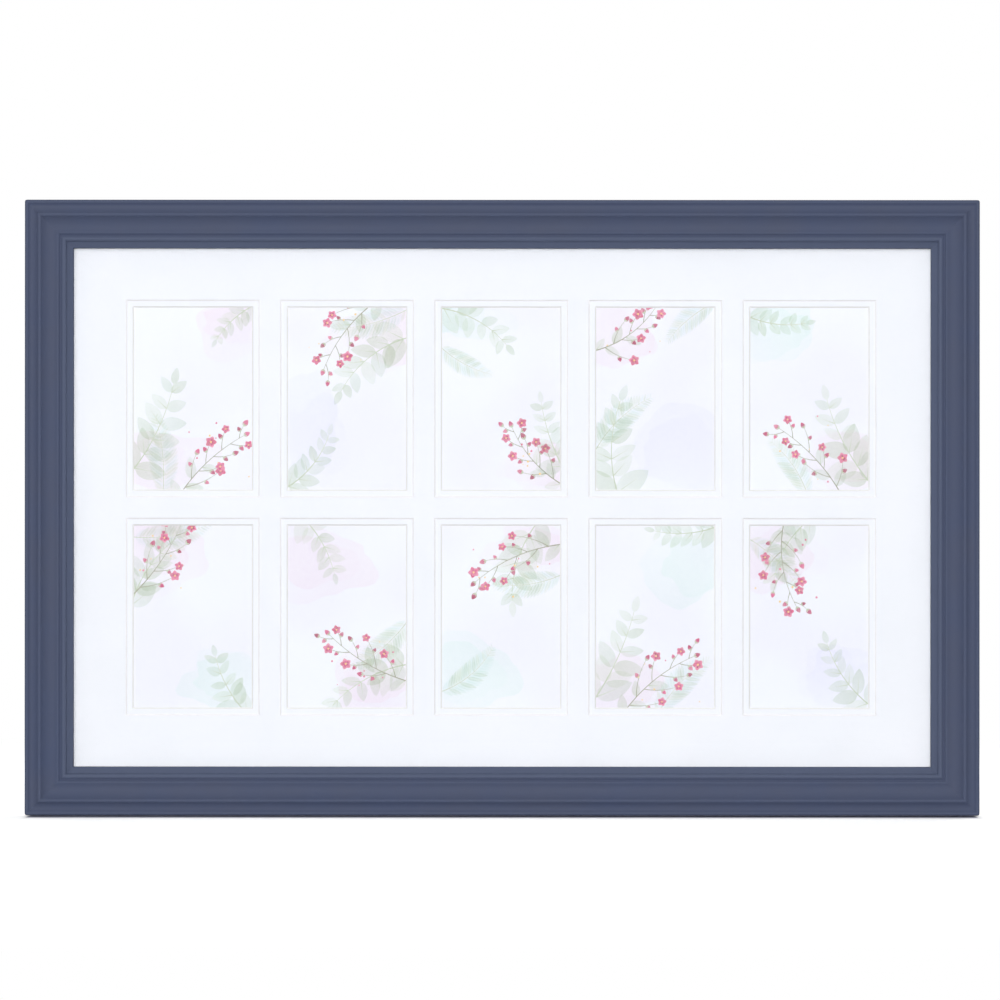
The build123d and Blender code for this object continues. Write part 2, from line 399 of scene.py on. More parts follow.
@dataclass(frozen=True)
class RailFinish:
    """Satin paint on the face and outer side of a rail, bare wood on its back and in its rebate. The paint
    has painted shade in its quirk and hollows, and a painted highlight with some wear on its crests.
    """

    blue: Colour = srgb(66, 75, 100)
    grey: Colour = srgb(70, 76, 96)
    # Lighter tone of the paint, used from the inner bead to the sight edge.
    thin: Colour = srgb(76, 84, 106)
    # Painted highlight, with some wear: the lighter paint on the crests.
    crest: Colour = srgb(80, 90, 114)
    # Painted shade: the darker paint for the quirk and the hollows.
    groove: Colour = srgb(60, 68, 92)
    pale_wood: Colour = srgb(206, 178, 138)
    dark_wood: Colour = srgb(176, 141, 98)
    thin_band: Span = (28.5 * MM, 31.5 * MM)
    quirk_outer: Span = (2.4 * MM, 3.6 * MM)
    quirk_inner: Span = (3.6 * MM, 5.6 * MM)
    quirk_dirt: float = 0.8
    crest_wear: Span = (0.05, 0.8)
    groove_dirt: Span = (0.05, 0.7)
    brush_cover: Span = (0.55, 1.0)
    patch_shade: Span = (0.97, 1.03)
    brush_shade: Span = (-0.035, 0.035)
    pore_shade: Span = (0.82, 1.06)
    ragged_reach: Span = (-0.3, 0.3)
    paint_edge: Span = (0.45, 0.55)
    brush_height: float = 0.7
    peel_height: float = 0.3
    roughness: Span = (0.6, 0.85)
    patch_roughness: Span = (-0.05, 0.05)
    specular: float = 0.22
    relief: float = 0.03 * MM

    def material(self) -> Material:
        """Make the material, which reads the attributes that the moulding's run stores.

        Returns:
            The material.
        """
        material, graph, place = new_material("painted_rail")
        run, edge = graph.attribute("run", "Vector"), graph.attribute("edge")
        across, raw = graph.attribute("across"), graph.attribute("raw")

        brush = graph.effect(Effects.streaks, run, Along=14.0, Across=1300.0)
        hue = graph.effect(Effects.mottle, place, Scale=26.0, Contrast=1.6)
        patch = graph.effect(Effects.mottle, place, Scale=9.0, Contrast=1.5)
        paint = graph.blend(self.blue, self.grey, hue)
        # Paint lighter from the inner bead to the sight edge.
        paint = graph.blend(paint, self.thin, graph.ramp(across, *self.thin_band))
        # Painted shade: darker paint in the quirk by the outer edge, where the groove falls into shade.
        quirk_shade = graph.ramp(across, *self.quirk_outer, 0.0, self.quirk_dirt)
        quirk_shade = graph.math("MULTIPLY", quirk_shade, graph.ramp(across, *self.quirk_inner, 1.0, 0.0))
        paint = graph.blend(paint, self.groove, quirk_shade)
        cover = graph.lerp(brush, *self.brush_cover)
        # Painted highlight, with some wear: crests lighter where the brush marks allow.
        rubbed = graph.math("MULTIPLY", graph.ramp(edge, *self.crest_wear), cover)
        paint = graph.blend(paint, self.crest, rubbed)
        # Painted shade: darker paint in every hollow of the moulding.
        hollow = graph.math("MULTIPLY", edge, -1.0)
        paint = graph.blend(paint, self.groove, graph.ramp(hollow, *self.groove_dirt))
        shade = graph.lerp(patch, *self.patch_shade)
        paint = graph.scaled(paint, graph.math("ADD", shade, graph.lerp(brush, *self.brush_shade)))

        grain = graph.effect(Effects.streaks, run, Along=3.0, Across=230.0, Contrast=2.2)
        pores = graph.effect(Effects.streaks, run, Along=90.0, Across=2600.0, Contrast=2.4)
        wood = graph.blend(self.pale_wood, self.dark_wood, grain)
        wood = graph.scaled(wood, graph.lerp(pores, *self.pore_shade))

        ragged = graph.effect(Effects.mottle, place, Scale=420.0, Contrast=2.0)
        bare = graph.math("ADD", raw, graph.lerp(ragged, *self.ragged_reach))
        bare = graph.ramp(bare, *self.paint_edge)
        peel = graph.math("MULTIPLY", graph.effect(Effects.mottle, place, Scale=1500.0), self.peel_height)
        painted = graph.math("ADD", graph.math("MULTIPLY", brush, self.brush_height), peel)
        height = graph.node("Mix", {"Factor": bare, "A": painted, "B": pores}, data_type="FLOAT")
        roughness = graph.lerp(bare, *self.roughness)
        roughness = graph.math("ADD", roughness, graph.lerp(patch, *self.patch_roughness))
        show_surface(graph, self, height, graph.blend(paint, wood, bare), Roughness=roughness)
        return material


@dataclass(frozen=True)
class MatFinish:
    """White paper faces over a core, which the bevels show."""

    name: str
    core: Colour
    paper: Colour
    shade: Colour
    bevel_facing: Span = (0.95, 0.8)
    paper_fibres: Span = (0.985, 1.0)
    core_fibres: Span = (0.9, 1.04)
    roughness: float = 0.9
    specular: float = 0.25
    relief: float = 0.012 * MM

    def material(self) -> Material:
        """Make the material, which tells faces from bevels by the way they face.

        Returns:
            The material.
        """
        material, graph, place = new_material(self.name)
        facing = graph.out(graph.node("TexCoord"), "Normal")
        cut = graph.ramp(graph.math("ABSOLUTE", graph.axis(facing, "Y")), *self.bevel_facing)
        fibres = graph.effect(Effects.fibres, place, Scale=1400.0)
        cloud = graph.effect(Effects.mottle, place, Scale=14.0, Contrast=1.4)
        paper = graph.blend(self.paper, self.shade, cloud)
        paper = graph.scaled(paper, graph.lerp(fibres, *self.paper_fibres))
        core = graph.scaled(self.core, graph.lerp(fibres, *self.core_fibres))
        show_surface(graph, self, fibres, graph.blend(paper, core, cut), Roughness=self.roughness)
        return material


@dataclass(frozen=True)
class PrintFinish:
    """Printed card: ink from the print attribute, washed unevenly over a fine paper tooth."""

    pooling: Span = (0.9, 1.12)
    tooth: Span = (0.985, 1.0)
    roughness: float = 0.55
    specular: float = 0.35
    relief: float = 0.008 * MM

    def material(self) -> Material:
        """Make the material.

        Returns:
            The material.
        """
        material, graph, place = new_material("printed_card")
        fibres = graph.effect(Effects.fibres, place, Scale=1800.0)
        pools = graph.effect(Effects.mottle, place, Scale=380.0, Contrast=2.0)
        density = graph.lerp(pools, *self.pooling)
        ink = graph.node("Gamma", {"Color": graph.attribute("print", "Color"), "Gamma": density})
        tone = graph.scaled(ink, graph.lerp(fibres, *self.tooth))
        show_surface(graph, self, fibres, tone, Roughness=self.roughness)
        return material


@dataclass(frozen=True)
class GlassFinish:
    """Clear float glass with a trace of handling. Lamps reach what lies behind it."""

    tint: Colour = (0.985, 0.992, 0.991)
    refraction: float = 1.5
    smear: float = 0.02

    def material(self) -> Material:
        """Make the material.

        Returns:
            The material.
        """
        material, graph, place = new_material("clear_glass")
        handled = graph.effect(Effects.mottle, place, Scale=11.0, Contrast=3.0)
        wiped = graph.effect(Effects.streaks, place, Along=20.0, Across=240.0, Contrast=2.0)
        roughness = graph.math("MULTIPLY", graph.math("MULTIPLY", handled, wiped), self.smear)
        inputs = {
            "Base Color": self.tint, "Roughness": roughness, "IOR": self.refraction,
            "Transmission Weight": 1.0, "Metallic": 0.0,
        }
        glass = graph.node("BsdfPrincipled", inputs)
        path = graph.node("LightPath")
        lit = graph.math("MAXIMUM", graph.out(path, "Is Shadow Ray"), graph.out(path, "Is Diffuse Ray"))
        clear = graph.node("BsdfTransparent", {"Color": self.tint})
        show(graph, graph.node("MixShader", {0: lit, 1: glass, 2: clear}))
        return material


@dataclass(frozen=True)
class BoardFinish:
    """Hardboard: a smooth pressed brown face with darker fibres and pale rub marks."""

    light: Colour = srgb(158, 118, 80)
    dark: Colour = srgb(116, 80, 50)
    dust: Colour = srgb(188, 156, 118)
    cloud_reach: float = 0.55
    cloud_start: float = 0.35
    fibre_depth: float = 0.45
    rubbed_from: Span = (0.65, 1.0)
    rubbed_strength: float = 0.16
    fleck_shade: Span = (0.86, 1.1)
    fleck_height: float = 0.3
    roughness: Span = (0.5, 0.68)
    specular: float = 0.4
    relief: float = 0.05 * MM

    def material(self) -> Material:
        """Make the material.

        Returns:
            The material.
        """
        material, graph, place = new_material("pressed_board")
        fibres = graph.effect(Effects.fibres, place, Scale=520.0)
        cloud = graph.effect(Effects.mottle, place, Scale=16.0, Contrast=1.8)
        fleck = graph.effect(Effects.mottle, place, Scale=800.0, Contrast=3.0)
        share = graph.math("MULTIPLY_ADD", cloud, self.cloud_reach, self.cloud_start)
        brown = graph.blend(self.dark, self.light, share)
        brown = graph.blend(brown, self.dark, graph.math("MULTIPLY", fibres, self.fibre_depth))
        rubbed = graph.effect(Effects.streaks, place, Along=16.0, Across=420.0, Contrast=2.2)
        rubbed = graph.math("MULTIPLY", graph.ramp(rubbed, *self.rubbed_from), self.rubbed_strength)
        brown = graph.blend(brown, self.dust, rubbed)
        brown = graph.scaled(brown, graph.lerp(fleck, *self.fleck_shade))
        height = graph.math("ADD", fibres, graph.math("MULTIPLY", fleck, self.fleck_height))
        show_surface(graph, self, height, brown, Roughness=graph.lerp(cloud, *self.roughness))
        return material


@dataclass(frozen=True)
class SteelFinish:
    """Plated or bare sheet steel with rolling marks and small dull patches."""

    name: str
    bright: Colour
    dull: Colour
    roughness: float
    rolled_shade: Span = (0.93, 1.03)
    rolled_roughness: float = 0.08
    bloom_roughness: Span = (-0.06, 0.1)
    specular: float = 0.5
    relief: float = 0.006 * MM

    @cache
    def material(self) -> Material:
        """Make the material, once.

        Returns:
            The material.
        """
        material, graph, place = new_material(self.name)
        rolled = graph.effect(Effects.streaks, place, Along=60.0, Across=2400.0, Contrast=1.6)
        bloom = graph.effect(Effects.mottle, place, Scale=340.0, Contrast=2.2)
        metal = graph.blend(self.bright, self.dull, bloom)
        metal = graph.scaled(metal, graph.lerp(rolled, *self.rolled_shade))
        marks = graph.lerp(rolled, self.roughness, self.roughness + self.rolled_roughness)
        rough = graph.math("ADD", graph.lerp(bloom, *self.bloom_roughness), marks)
        show_surface(graph, self, rolled, metal, Roughness=rough, Metallic=1.0)
        return material


ZINC = SteelFinish("zinc_plating", srgb(186, 188, 190), srgb(140, 143, 148), 0.3)
BARE_STEEL = SteelFinish("nail_steel", srgb(138, 138, 138), srgb(100, 98, 96), 0.42)


# Mesh helpers


def new_mesh(name: str, points: Sequence[Point], faces: Sequence[Sequence[int]]) -> Mesh:
    """Make a mesh.

    Args:
        name: its name.
        points: its points.
        faces: the numbers of each face's points.

    Returns:
        The mesh.
    """
    mesh = bpy.data.meshes.new(name)
    mesh.from_pydata([tuple(point) for point in points], [], [tuple(face) for face in faces])
    mesh.update()
    return mesh


def new_object(name: str, data: ID) -> Object:
    """Link an object at the origin.

    Args:
        name: the object's name.
        data: its mesh, light or camera.

    Returns:
        The object.
    """
    shown = bpy.data.objects.new(name, data)
    bpy.context.scene.collection.objects.link(shown)
    return shown


def evaluated_mesh(shown: Object) -> Mesh:
    """Plain mesh of an object with its modifiers applied, which are then removed.

    Args:
        shown: the object.

    Returns:
        The new mesh, which the object now has.
    """
    bpy.context.view_layer.update()
    view = bpy.context.evaluated_depsgraph_get()
    mesh = bpy.data.meshes.new_from_object(shown.evaluated_get(view))
    shown.modifiers.clear()
    shown.data = mesh
    mesh.name = shown.name
    return mesh


def run_tree(shown: Object, tree: NodeTree, **inputs: object) -> Mesh:
    """Put an object through a Geometry Nodes tree.

    Args:
        shown: the object that the tree starts from.
        tree: the tree.
        inputs: its inputs, underscores standing for spaces in their names.

    Returns:
        The plain mesh that results.
    """
    modifier = shown.modifiers.new(tree.name, "NODES")
    modifier.node_group = tree
    sockets = {item.name: item.identifier for item in tree.interface.items_tree if item.in_out == "INPUT"}
    for name, value in inputs.items():
        modifier[sockets[name.replace("_", " ")]] = value
    return evaluated_mesh(shown)


def mesh_of(name: str, solid: BMesh) -> Mesh:
    """Make a mesh from a worked solid, and free the solid.

    Args:
        name: the mesh's name.
        solid: the solid.

    Returns:
        The mesh.
    """
    mesh = bpy.data.meshes.new(name)
    solid.to_mesh(mesh)
    solid.free()
    return mesh


def close_up(mesh: Mesh, smooth_angle: float, merge: float = 0) -> None:
    """Turn a closed mesh's faces outwards and smooth it between its sharp edges.

    Args:
        mesh: the mesh.
        smooth_angle: edges sharper than this stay sharp, in degrees.
        merge: points nearer than this become one, in metres.
    """
    solid = bmesh.new()
    solid.from_mesh(mesh)
    if merge:
        bmesh.ops.remove_doubles(solid, verts=solid.verts, dist=merge)
    bmesh.ops.recalc_face_normals(solid, faces=solid.faces)
    solid.to_mesh(mesh)
    solid.free()
    mesh.shade_smooth()
    mesh.set_sharp_from_angle(angle=math.radians(smooth_angle))


def settle(piece: Object, material: Material, slot: str, body: str, *nodes: str) -> None:
    """Dress a piece and tie it to the frame.

    Args:
        piece: the piece.
        material: its finish.
        slot: the record's material slot; not used.
        body: the CAD body that it moves with.
        nodes: the CAD nodes that it stands for.
    """
    piece.data.materials.clear()
    piece.data.materials.append(material)
    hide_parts(*nodes)
    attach(piece, body)
    LOG.info("%s: %d faces on %s", piece.name, len(piece.data.polygons), body)


def dress_node(node: str, material: Material) -> None:
    """Give a CAD node that stays its finish.

    Args:
        node: the node's name.
        material: its finish.
    """
    shown = frame["nodes"][node]
    shown.data.materials.clear()
    shown.data.materials.append(material)
    LOG.info("%s: CAD node dressed with %s", node, material.name)


def placed(mesh: Mesh, name: str, at: Vector, ahead: Vector, away: Vector = AWAY) -> Object:
    """A copy of a blank, set on the back of the frame.

    Args:
        mesh: the blank, with +X ahead and +Y away from the wood.
        name: the new piece's name.
        at: where the blank's origin goes.
        ahead: where its +X points.
        away: where its +Y points.

    Returns:
        The piece, its place in its mesh.
    """
    turn = Matrix((ahead, away, ahead.cross(away))).transposed().to_4x4()
    copy = mesh.copy()
    copy.transform(Matrix.Translation(at) @ turn)
    return new_object(name, copy)


def either_side(line: Sequence[Vector], halves: Sequence[float]) -> tuple[list[Vector], list[Vector]]:
    """Points to the left and right of a flat line.

    Args:
        line: the line's points.
        halves: how far off each of them to go.

    Returns:
        The points on the left, and those on the right.
    """
    left, right = [], []
    for number, (point, half) in enumerate(zip(line, halves)):
        ahead = (line[min(number + 1, len(line) - 1)] - line[max(number - 1, 0)]).normalized()
        aside = Vector((-ahead.y, ahead.x)) * half
        left.append(point + aside)
        right.append(point - aside)
    return left, right


def capped_rings(name: str, upper: Sequence[Point], lower: Sequence[Point]) -> Mesh:
    """Closed mesh between two rings of points, capped at both.

    Args:
        name: the mesh's name.
        upper, lower: as many points each, in order.

    Returns:
        The mesh.
    """
    count = len(upper)
    sides = [(k, (k + 1) % count, count + (k + 1) % count, count + k) for k in range(count)]
    mesh = new_mesh(name, [*upper, *lower], [*sides, range(count), range(2 * count - 1, count - 1, -1)])
    close_up(mesh, HARDWARE_EDGE)
    return mesh


def pivots(kind: str) -> Iterator[tuple[str, Vector, Vector]]:
    """Find the pieces of a kind that turn on a joint.

    Args:
        kind: how their nodes' names begin.

    Yields:
        Each one's node, its pivot, and the way outward from the middle on its side.
    """
    for joint in frame["joints"]:
        node = joint["child"]
        if node.startswith(kind):
            yield node, Vector(joint["pos_m"]), Side[node.split("_")[2].upper()].outward


# Rails


@dataclass(frozen=True)
class Member:
    """One arc of the moulding: where it ends and how far it rises over its chord, all as shares."""

    across: float
    forward: float
    rise: float


@dataclass
class Rails:
    """Four mitred lengths of one moulding, its section run along each side by Geometry Nodes."""

    width: float = 38.5 * MM
    depth: float = 22 * MM
    lip: float = 6 * MM
    rebate: float = 7.65 * MM
    side_height_share: float = 0.870
    members: tuple[Member, ...] = (
        Member(0.080, 0.906, 0.043),
        Member(0.260, 0.960, -0.039),
        Member(0.352, 0.956, 0.042),
        Member(0.655, 0.834, -0.066),
        Member(0.706, 0.824, 0.013),
        Member(0.752, 0.796, -0.018),
        Member(0.856, 0.770, 0.045),
        Member(0.888, 0.708, -0.014),
        Member(0.974, 0.632, -0.008),
        Member(1.000, 0.560, 0.010),
    )
    spacing: float = 0.2 * MM
    softening: float = 0.24 * MM
    longest_step: float = 2.5 * MM
    finest_turn: float = 4
    sections: int = 45
    crowding: float = 3.0
    corner_radius: float = 1.7 * MM
    seam: float = 0.015 * MM
    painted_share: float = 0.5
    paint_lap: float = 1.6 * MM
    grain_step: float = 7.0
    sharp_edge: float = 50

    def corners(self) -> list[np.ndarray]:
        """Outline of the closed section.

        Returns:
            Its points, dense on its arcs: X in from the outer edge, Y forward.
        """
        here = np.array((0.0, self.side_height_share * self.depth))
        points = [np.zeros(2), here]
        for member in self.members:
            there = np.array((member.across * self.width, member.forward * self.depth))
            points += self.arc(here, there, member.rise * self.depth)
            here = there
        back = self.width - self.lip
        return points + [np.array(p) for p in ((self.width, self.rebate), (back, self.rebate), (back, 0.0))]

    def arc(self, start: np.ndarray, end: np.ndarray, rise: float) -> list[np.ndarray]:
        """Points along an arc after its start.

        Args:
            start, end: the arc's ends.
            rise: how far it stands off its chord, forward where positive.

        Returns:
            The points, a spacing apart, with the end last.
        """
        half = np.linalg.norm(end - start) / 2
        ahead = (end - start) / (2 * half)
        left = np.array((-ahead[1], ahead[0]))
        radius = (half**2 + rise**2) / (2 * rise)
        sweep = math.asin(half / abs(radius))
        centre = (start + end) / 2 + left * (rise - radius)
        steps = math.ceil(2 * sweep * abs(radius) / self.spacing)
        angles = [sweep * (2 * step / steps - 1) for step in range(1, steps + 1)]
        return [centre + ahead * abs(radius) * math.sin(a) + left * radius * math.cos(a) for a in angles]

    def section(self) -> Mesh:
        """Closed outline of the section, its corners eased.

        Returns:
            The outline as edges, with what the paint needs stored on its points.
        """
        loop = np.array(self.corners())
        steps = np.linalg.norm(np.roll(loop, -1, 0) - loop, axis=1)
        girth = np.concatenate(([0], np.cumsum(steps)))
        places = np.linspace(0, girth[-1], round(girth[-1] / self.spacing), endpoint=False)
        closed = np.vstack((loop, loop[:1]))
        even = np.column_stack([np.interp(places, girth, closed[:, axis]) for axis in (0, 1)])
        eased = self.blurred(even, self.softening)
        ahead = np.roll(eased, -1, 0) - eased
        behind = np.roll(ahead, 1, 0)
        crossed = behind[:, 0] * ahead[:, 1] - behind[:, 1] * ahead[:, 0]
        turning = np.arctan2(crossed, (ahead * behind).sum(1))
        edge = self.blurred(-turning[:, None] / self.spacing, self.softening)[:, 0] * self.softening * 2
        kept = self.thinned(turning)
        mesh = bpy.data.meshes.new("moulding_section")
        edges = [(i, (i + 1) % len(kept)) for i in range(len(kept))]
        mesh.from_pydata([(*eased[i], 0) for i in kept], edges, [])
        painted = (eased[:, 1] > self.rebate) | (eased[:, 0] < self.width * self.painted_share)
        raw = np.where(painted, np.clip(1 - eased[:, 1] / self.paint_lap, 0, 1), 1.0)
        stored = {
            "across": eased[:, 0], "forward": eased[:, 1], "girth": places,
            "edge": np.clip(edge, -1, 1), "raw": raw,
        }
        for name, values in stored.items():
            layer = mesh.attributes.new(name, "FLOAT", "POINT")
            layer.data.foreach_set("value", values[kept].astype(np.float32))
        return mesh

    def blurred(self, values: np.ndarray, width: float) -> np.ndarray:
        """Values round a closed loop, each averaged with its neighbours.

        Args:
            values: one row a point.
            width: of the bell that weighs them, in metres.

        Returns:
            The averaged rows.
        """
        reach = math.ceil(3 * width / self.spacing)
        offsets = np.arange(-reach, reach + 1)
        weights = np.exp(-((offsets * self.spacing / width) ** 2) / 2)
        shifted = sum(weight * np.roll(values, -offset, 0) for weight, offset in zip(weights, offsets))
        return shifted / weights.sum()

    def thinned(self, turning: np.ndarray) -> list[int]:
        """Choose the points worth keeping: more where the outline turns, fewer along straights.

        Args:
            turning: how far the outline turns at each point.

        Returns:
            The numbers of the points to keep.
        """
        kept, turned, gone = [], 0.0, 0.0
        for number, turn in enumerate(turning):
            turned += abs(math.degrees(turn))
            gone += self.spacing
            if not kept or turned > self.finest_turn or gone > self.longest_step:
                kept.append(number)
                turned, gone = 0.0, 0.0
        return kept

    def run_tree(self) -> NodeTree:
        """Geometry Nodes that run a section along one side and mitre both its ends.

        Returns:
            The tree.
        """
        inputs = {
            "Half Length": 0.3, "Outer Edge": 0.2, "Seam": 0.0, "Sections": 24, "Number": 0.0,
            "Along": (1.0, 0.0, 0.0), "Outward": (0.0, 0.0, 1.0), "Finish": "NodeSocketMaterial",
        }
        graph, given = new_group("run_moulding", GroupKind.SHAPE, inputs)
        profile = graph.step("MeshToCurve", {"Mesh": given["Geometry"]})
        line = graph.step("CurvePrimitiveLine")
        line = graph.step("ResampleCurve", {"Curve": line, "Count": given["Sections"]})
        factor = graph.out(graph.step("SplineParameter"), "Factor")
        line = graph.store(line, "share", factor)
        swept = {"Curve": line, "Profile Curve": profile, "Fill Caps": True}
        body = graph.step("CurveToMesh", swept)

        # The cross sections crowd towards the mitres, where the outer corners are rounded.
        middle = graph.math("MULTIPLY_ADD", graph.stored("share"), 2.0, -1.0)
        crowded = graph.math("SUBTRACT", 1.0, graph.math("ABSOLUTE", middle))
        crowded = graph.math("SUBTRACT", 1.0, graph.math("POWER", crowded, self.crowding))
        place = graph.math("MULTIPLY", graph.math("SIGN", middle), crowded)
        mitre = graph.math("SUBTRACT", given["Half Length"], graph.stored("across"))
        distance = graph.math("MULTIPLY", place, graph.math("SUBTRACT", mitre, given["Seam"]))
        height = graph.math("SUBTRACT", given["Outer Edge"], graph.stored("across"))
        outward = graph.scaled(given["Outward"], height)
        spot = graph.vector("ADD", graph.scaled(given["Along"], distance), outward)
        spot = graph.vector("ADD", spot, graph.scaled((0.0, -1.0, 0.0), graph.stored("forward")))
        body = graph.step("SetPosition", {"Geometry": body, "Position": spot})
        run = graph.joined(distance, graph.stored("girth"), given["Number"])
        return graph.close_shape(graph.store(body, "run", run, "FLOAT_VECTOR"), given["Finish"])

    def round_corners(self, mesh: Mesh, side: Side, half_length: float, outer_edge: float) -> None:
        """Round the frame's outer corners on one rail, up to the mitre.

        Args:
            mesh: the rail's mesh.
            side: which rail it is.
            half_length: half of its outer edge.
            outer_edge: how far that edge is from the frame's middle.
        """
        radius = self.corner_radius
        for vertex in mesh.vertices:
            distance = vertex.co.dot(side.along)
            from_end = half_length - abs(distance)
            inset = outer_edge - vertex.co.dot(side.outward)
            if from_end >= radius or inset >= radius:
                continue
            bend = math.pi / 4 * (radius - from_end) / (radius - inset)
            new_end = radius - (radius - inset) * math.sin(bend)
            new_inset = radius - (radius - inset) * math.cos(bend)
            vertex.co += side.along * math.copysign(1, distance) * (from_end - new_end)
            vertex.co += side.outward * (inset - new_inset)

    def build(self) -> None:
        """Make, dress and place all four rails."""
        section, tree, finish = self.section(), self.run_tree(), RailFinish().material()
        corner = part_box("top_rail")[1]
        for number, side in enumerate(Side):
            half_length, outer_edge = (corner.x, corner.z) if side.outward.z else (corner.z, corner.x)
            rail = new_object(f"painted_{side.label}_rail", section.copy())
            mesh = run_tree(
                rail, tree, Half_Length=half_length, Outer_Edge=outer_edge, Seam=self.seam,
                Sections=self.sections, Number=number * self.grain_step, Along=side.along,
                Outward=side.outward, Finish=finish,
            )
            self.round_corners(mesh, side, half_length, outer_edge)
            close_up(mesh, self.sharp_edge)
            settle(rail, finish, "painted_wood", STATIC_BODY, f"{side.label}_rail")


# Glass, mats and board


@dataclass
class Glazing:
    """The flat sheets in the rebate, whose CAD shapes stay: glass, two mats and the board."""

    top_mat: MatFinish = MatFinish(
        "top_mat_board", core=srgb(251, 247, 250), paper=srgb(246, 246, 252), shade=srgb(242, 243, 249)
    )
    bottom_mat: MatFinish = MatFinish(
        "bottom_mat_board", core=srgb(243, 240, 240), paper=srgb(243, 243, 250), shade=srgb(240, 241, 248)
    )
    glass_pane: GlassFinish = GlassFinish()
    backing_board: BoardFinish = BoardFinish()

    def build(self) -> None:
        """Dress the sheets."""
        for node in ("top_mat", "bottom_mat", "glass_pane", "backing_board"):
            dress_node(node, getattr(self, node).material())


# Printed cards


def heading_vector(degrees: float) -> Vector:
    """Unit vector on a card, degrees turned left from pointing right."""
    return Vector((math.cos(math.radians(degrees)), math.sin(math.radians(degrees))))


@dataclass(frozen=True)
class Palette:
    """Printing colours."""

    paper: Colour = srgb(237, 236, 246)
    cloud: Colour = srgb(240, 241, 248)
    rose: tuple[Colour, ...] = (
        srgb(180, 26, 96), srgb(196, 50, 112), srgb(164, 20, 82), srgb(208, 80, 130)
    )
    petal: tuple[Colour, ...] = (srgb(212, 80, 130), srgb(222, 106, 150), srgb(204, 66, 116))
    sage: tuple[Colour, ...] = (
        srgb(234, 240, 229), srgb(227, 234, 220), srgb(241, 245, 236), srgb(232, 239, 229)
    )
    mist: tuple[Colour, ...] = (srgb(244, 250, 248), srgb(240, 247, 242))
    vein: Colour = srgb(184, 194, 168)
    stem: Colour = srgb(140, 138, 110)
    pollen: Colour = srgb(240, 200, 110)
    blush: Colour = srgb(254, 247, 250)
    mint: Colour = srgb(247, 253, 250)
    lilac: Colour = srgb(251, 251, 255)


@dataclass
class Ink:
    """One printed shape: its outline on the card, and its tones at two points."""

    outline: list[Vector]
    start: Vector
    end: Vector
    first: Colour
    last: Colour
    covers: bool = False

    def over(self, under: Colour, at: Vector) -> Colour:
        """Colour at a point with the shape printed over another colour.

        Args:
            under: the other colour.
            at: the point.

        Returns:
            The colour.
        """
        axis = self.end - self.start
        share = min(1, max(0, (at - self.start).dot(axis) / axis.length_squared))
        tone = tuple(a + (b - a) * share for a, b in zip(self.first, self.last))
        return tone if self.covers else tuple(a * b for a, b in zip(tone, under))


@dataclass(frozen=True)
class Stem:
    """A stem that turns by an angle over its length, in degrees and millimetres."""

    root: Vector
    heading: float
    length: float
    bend: float

    def walk(self, steps: int) -> tuple[list[Vector], list[float]]:
        """Walk along the stem.

        Args:
            steps: in how many steps.

        Returns:
            The points, and the stem's heading at each.
        """
        turns = [self.heading + self.bend * step / steps for step in range(steps + 1)]
        points = [self.root]
        for turned in turns[:-1]:
            points.append(points[-1] + heading_vector(turned) * self.length / steps)
        return points, turns


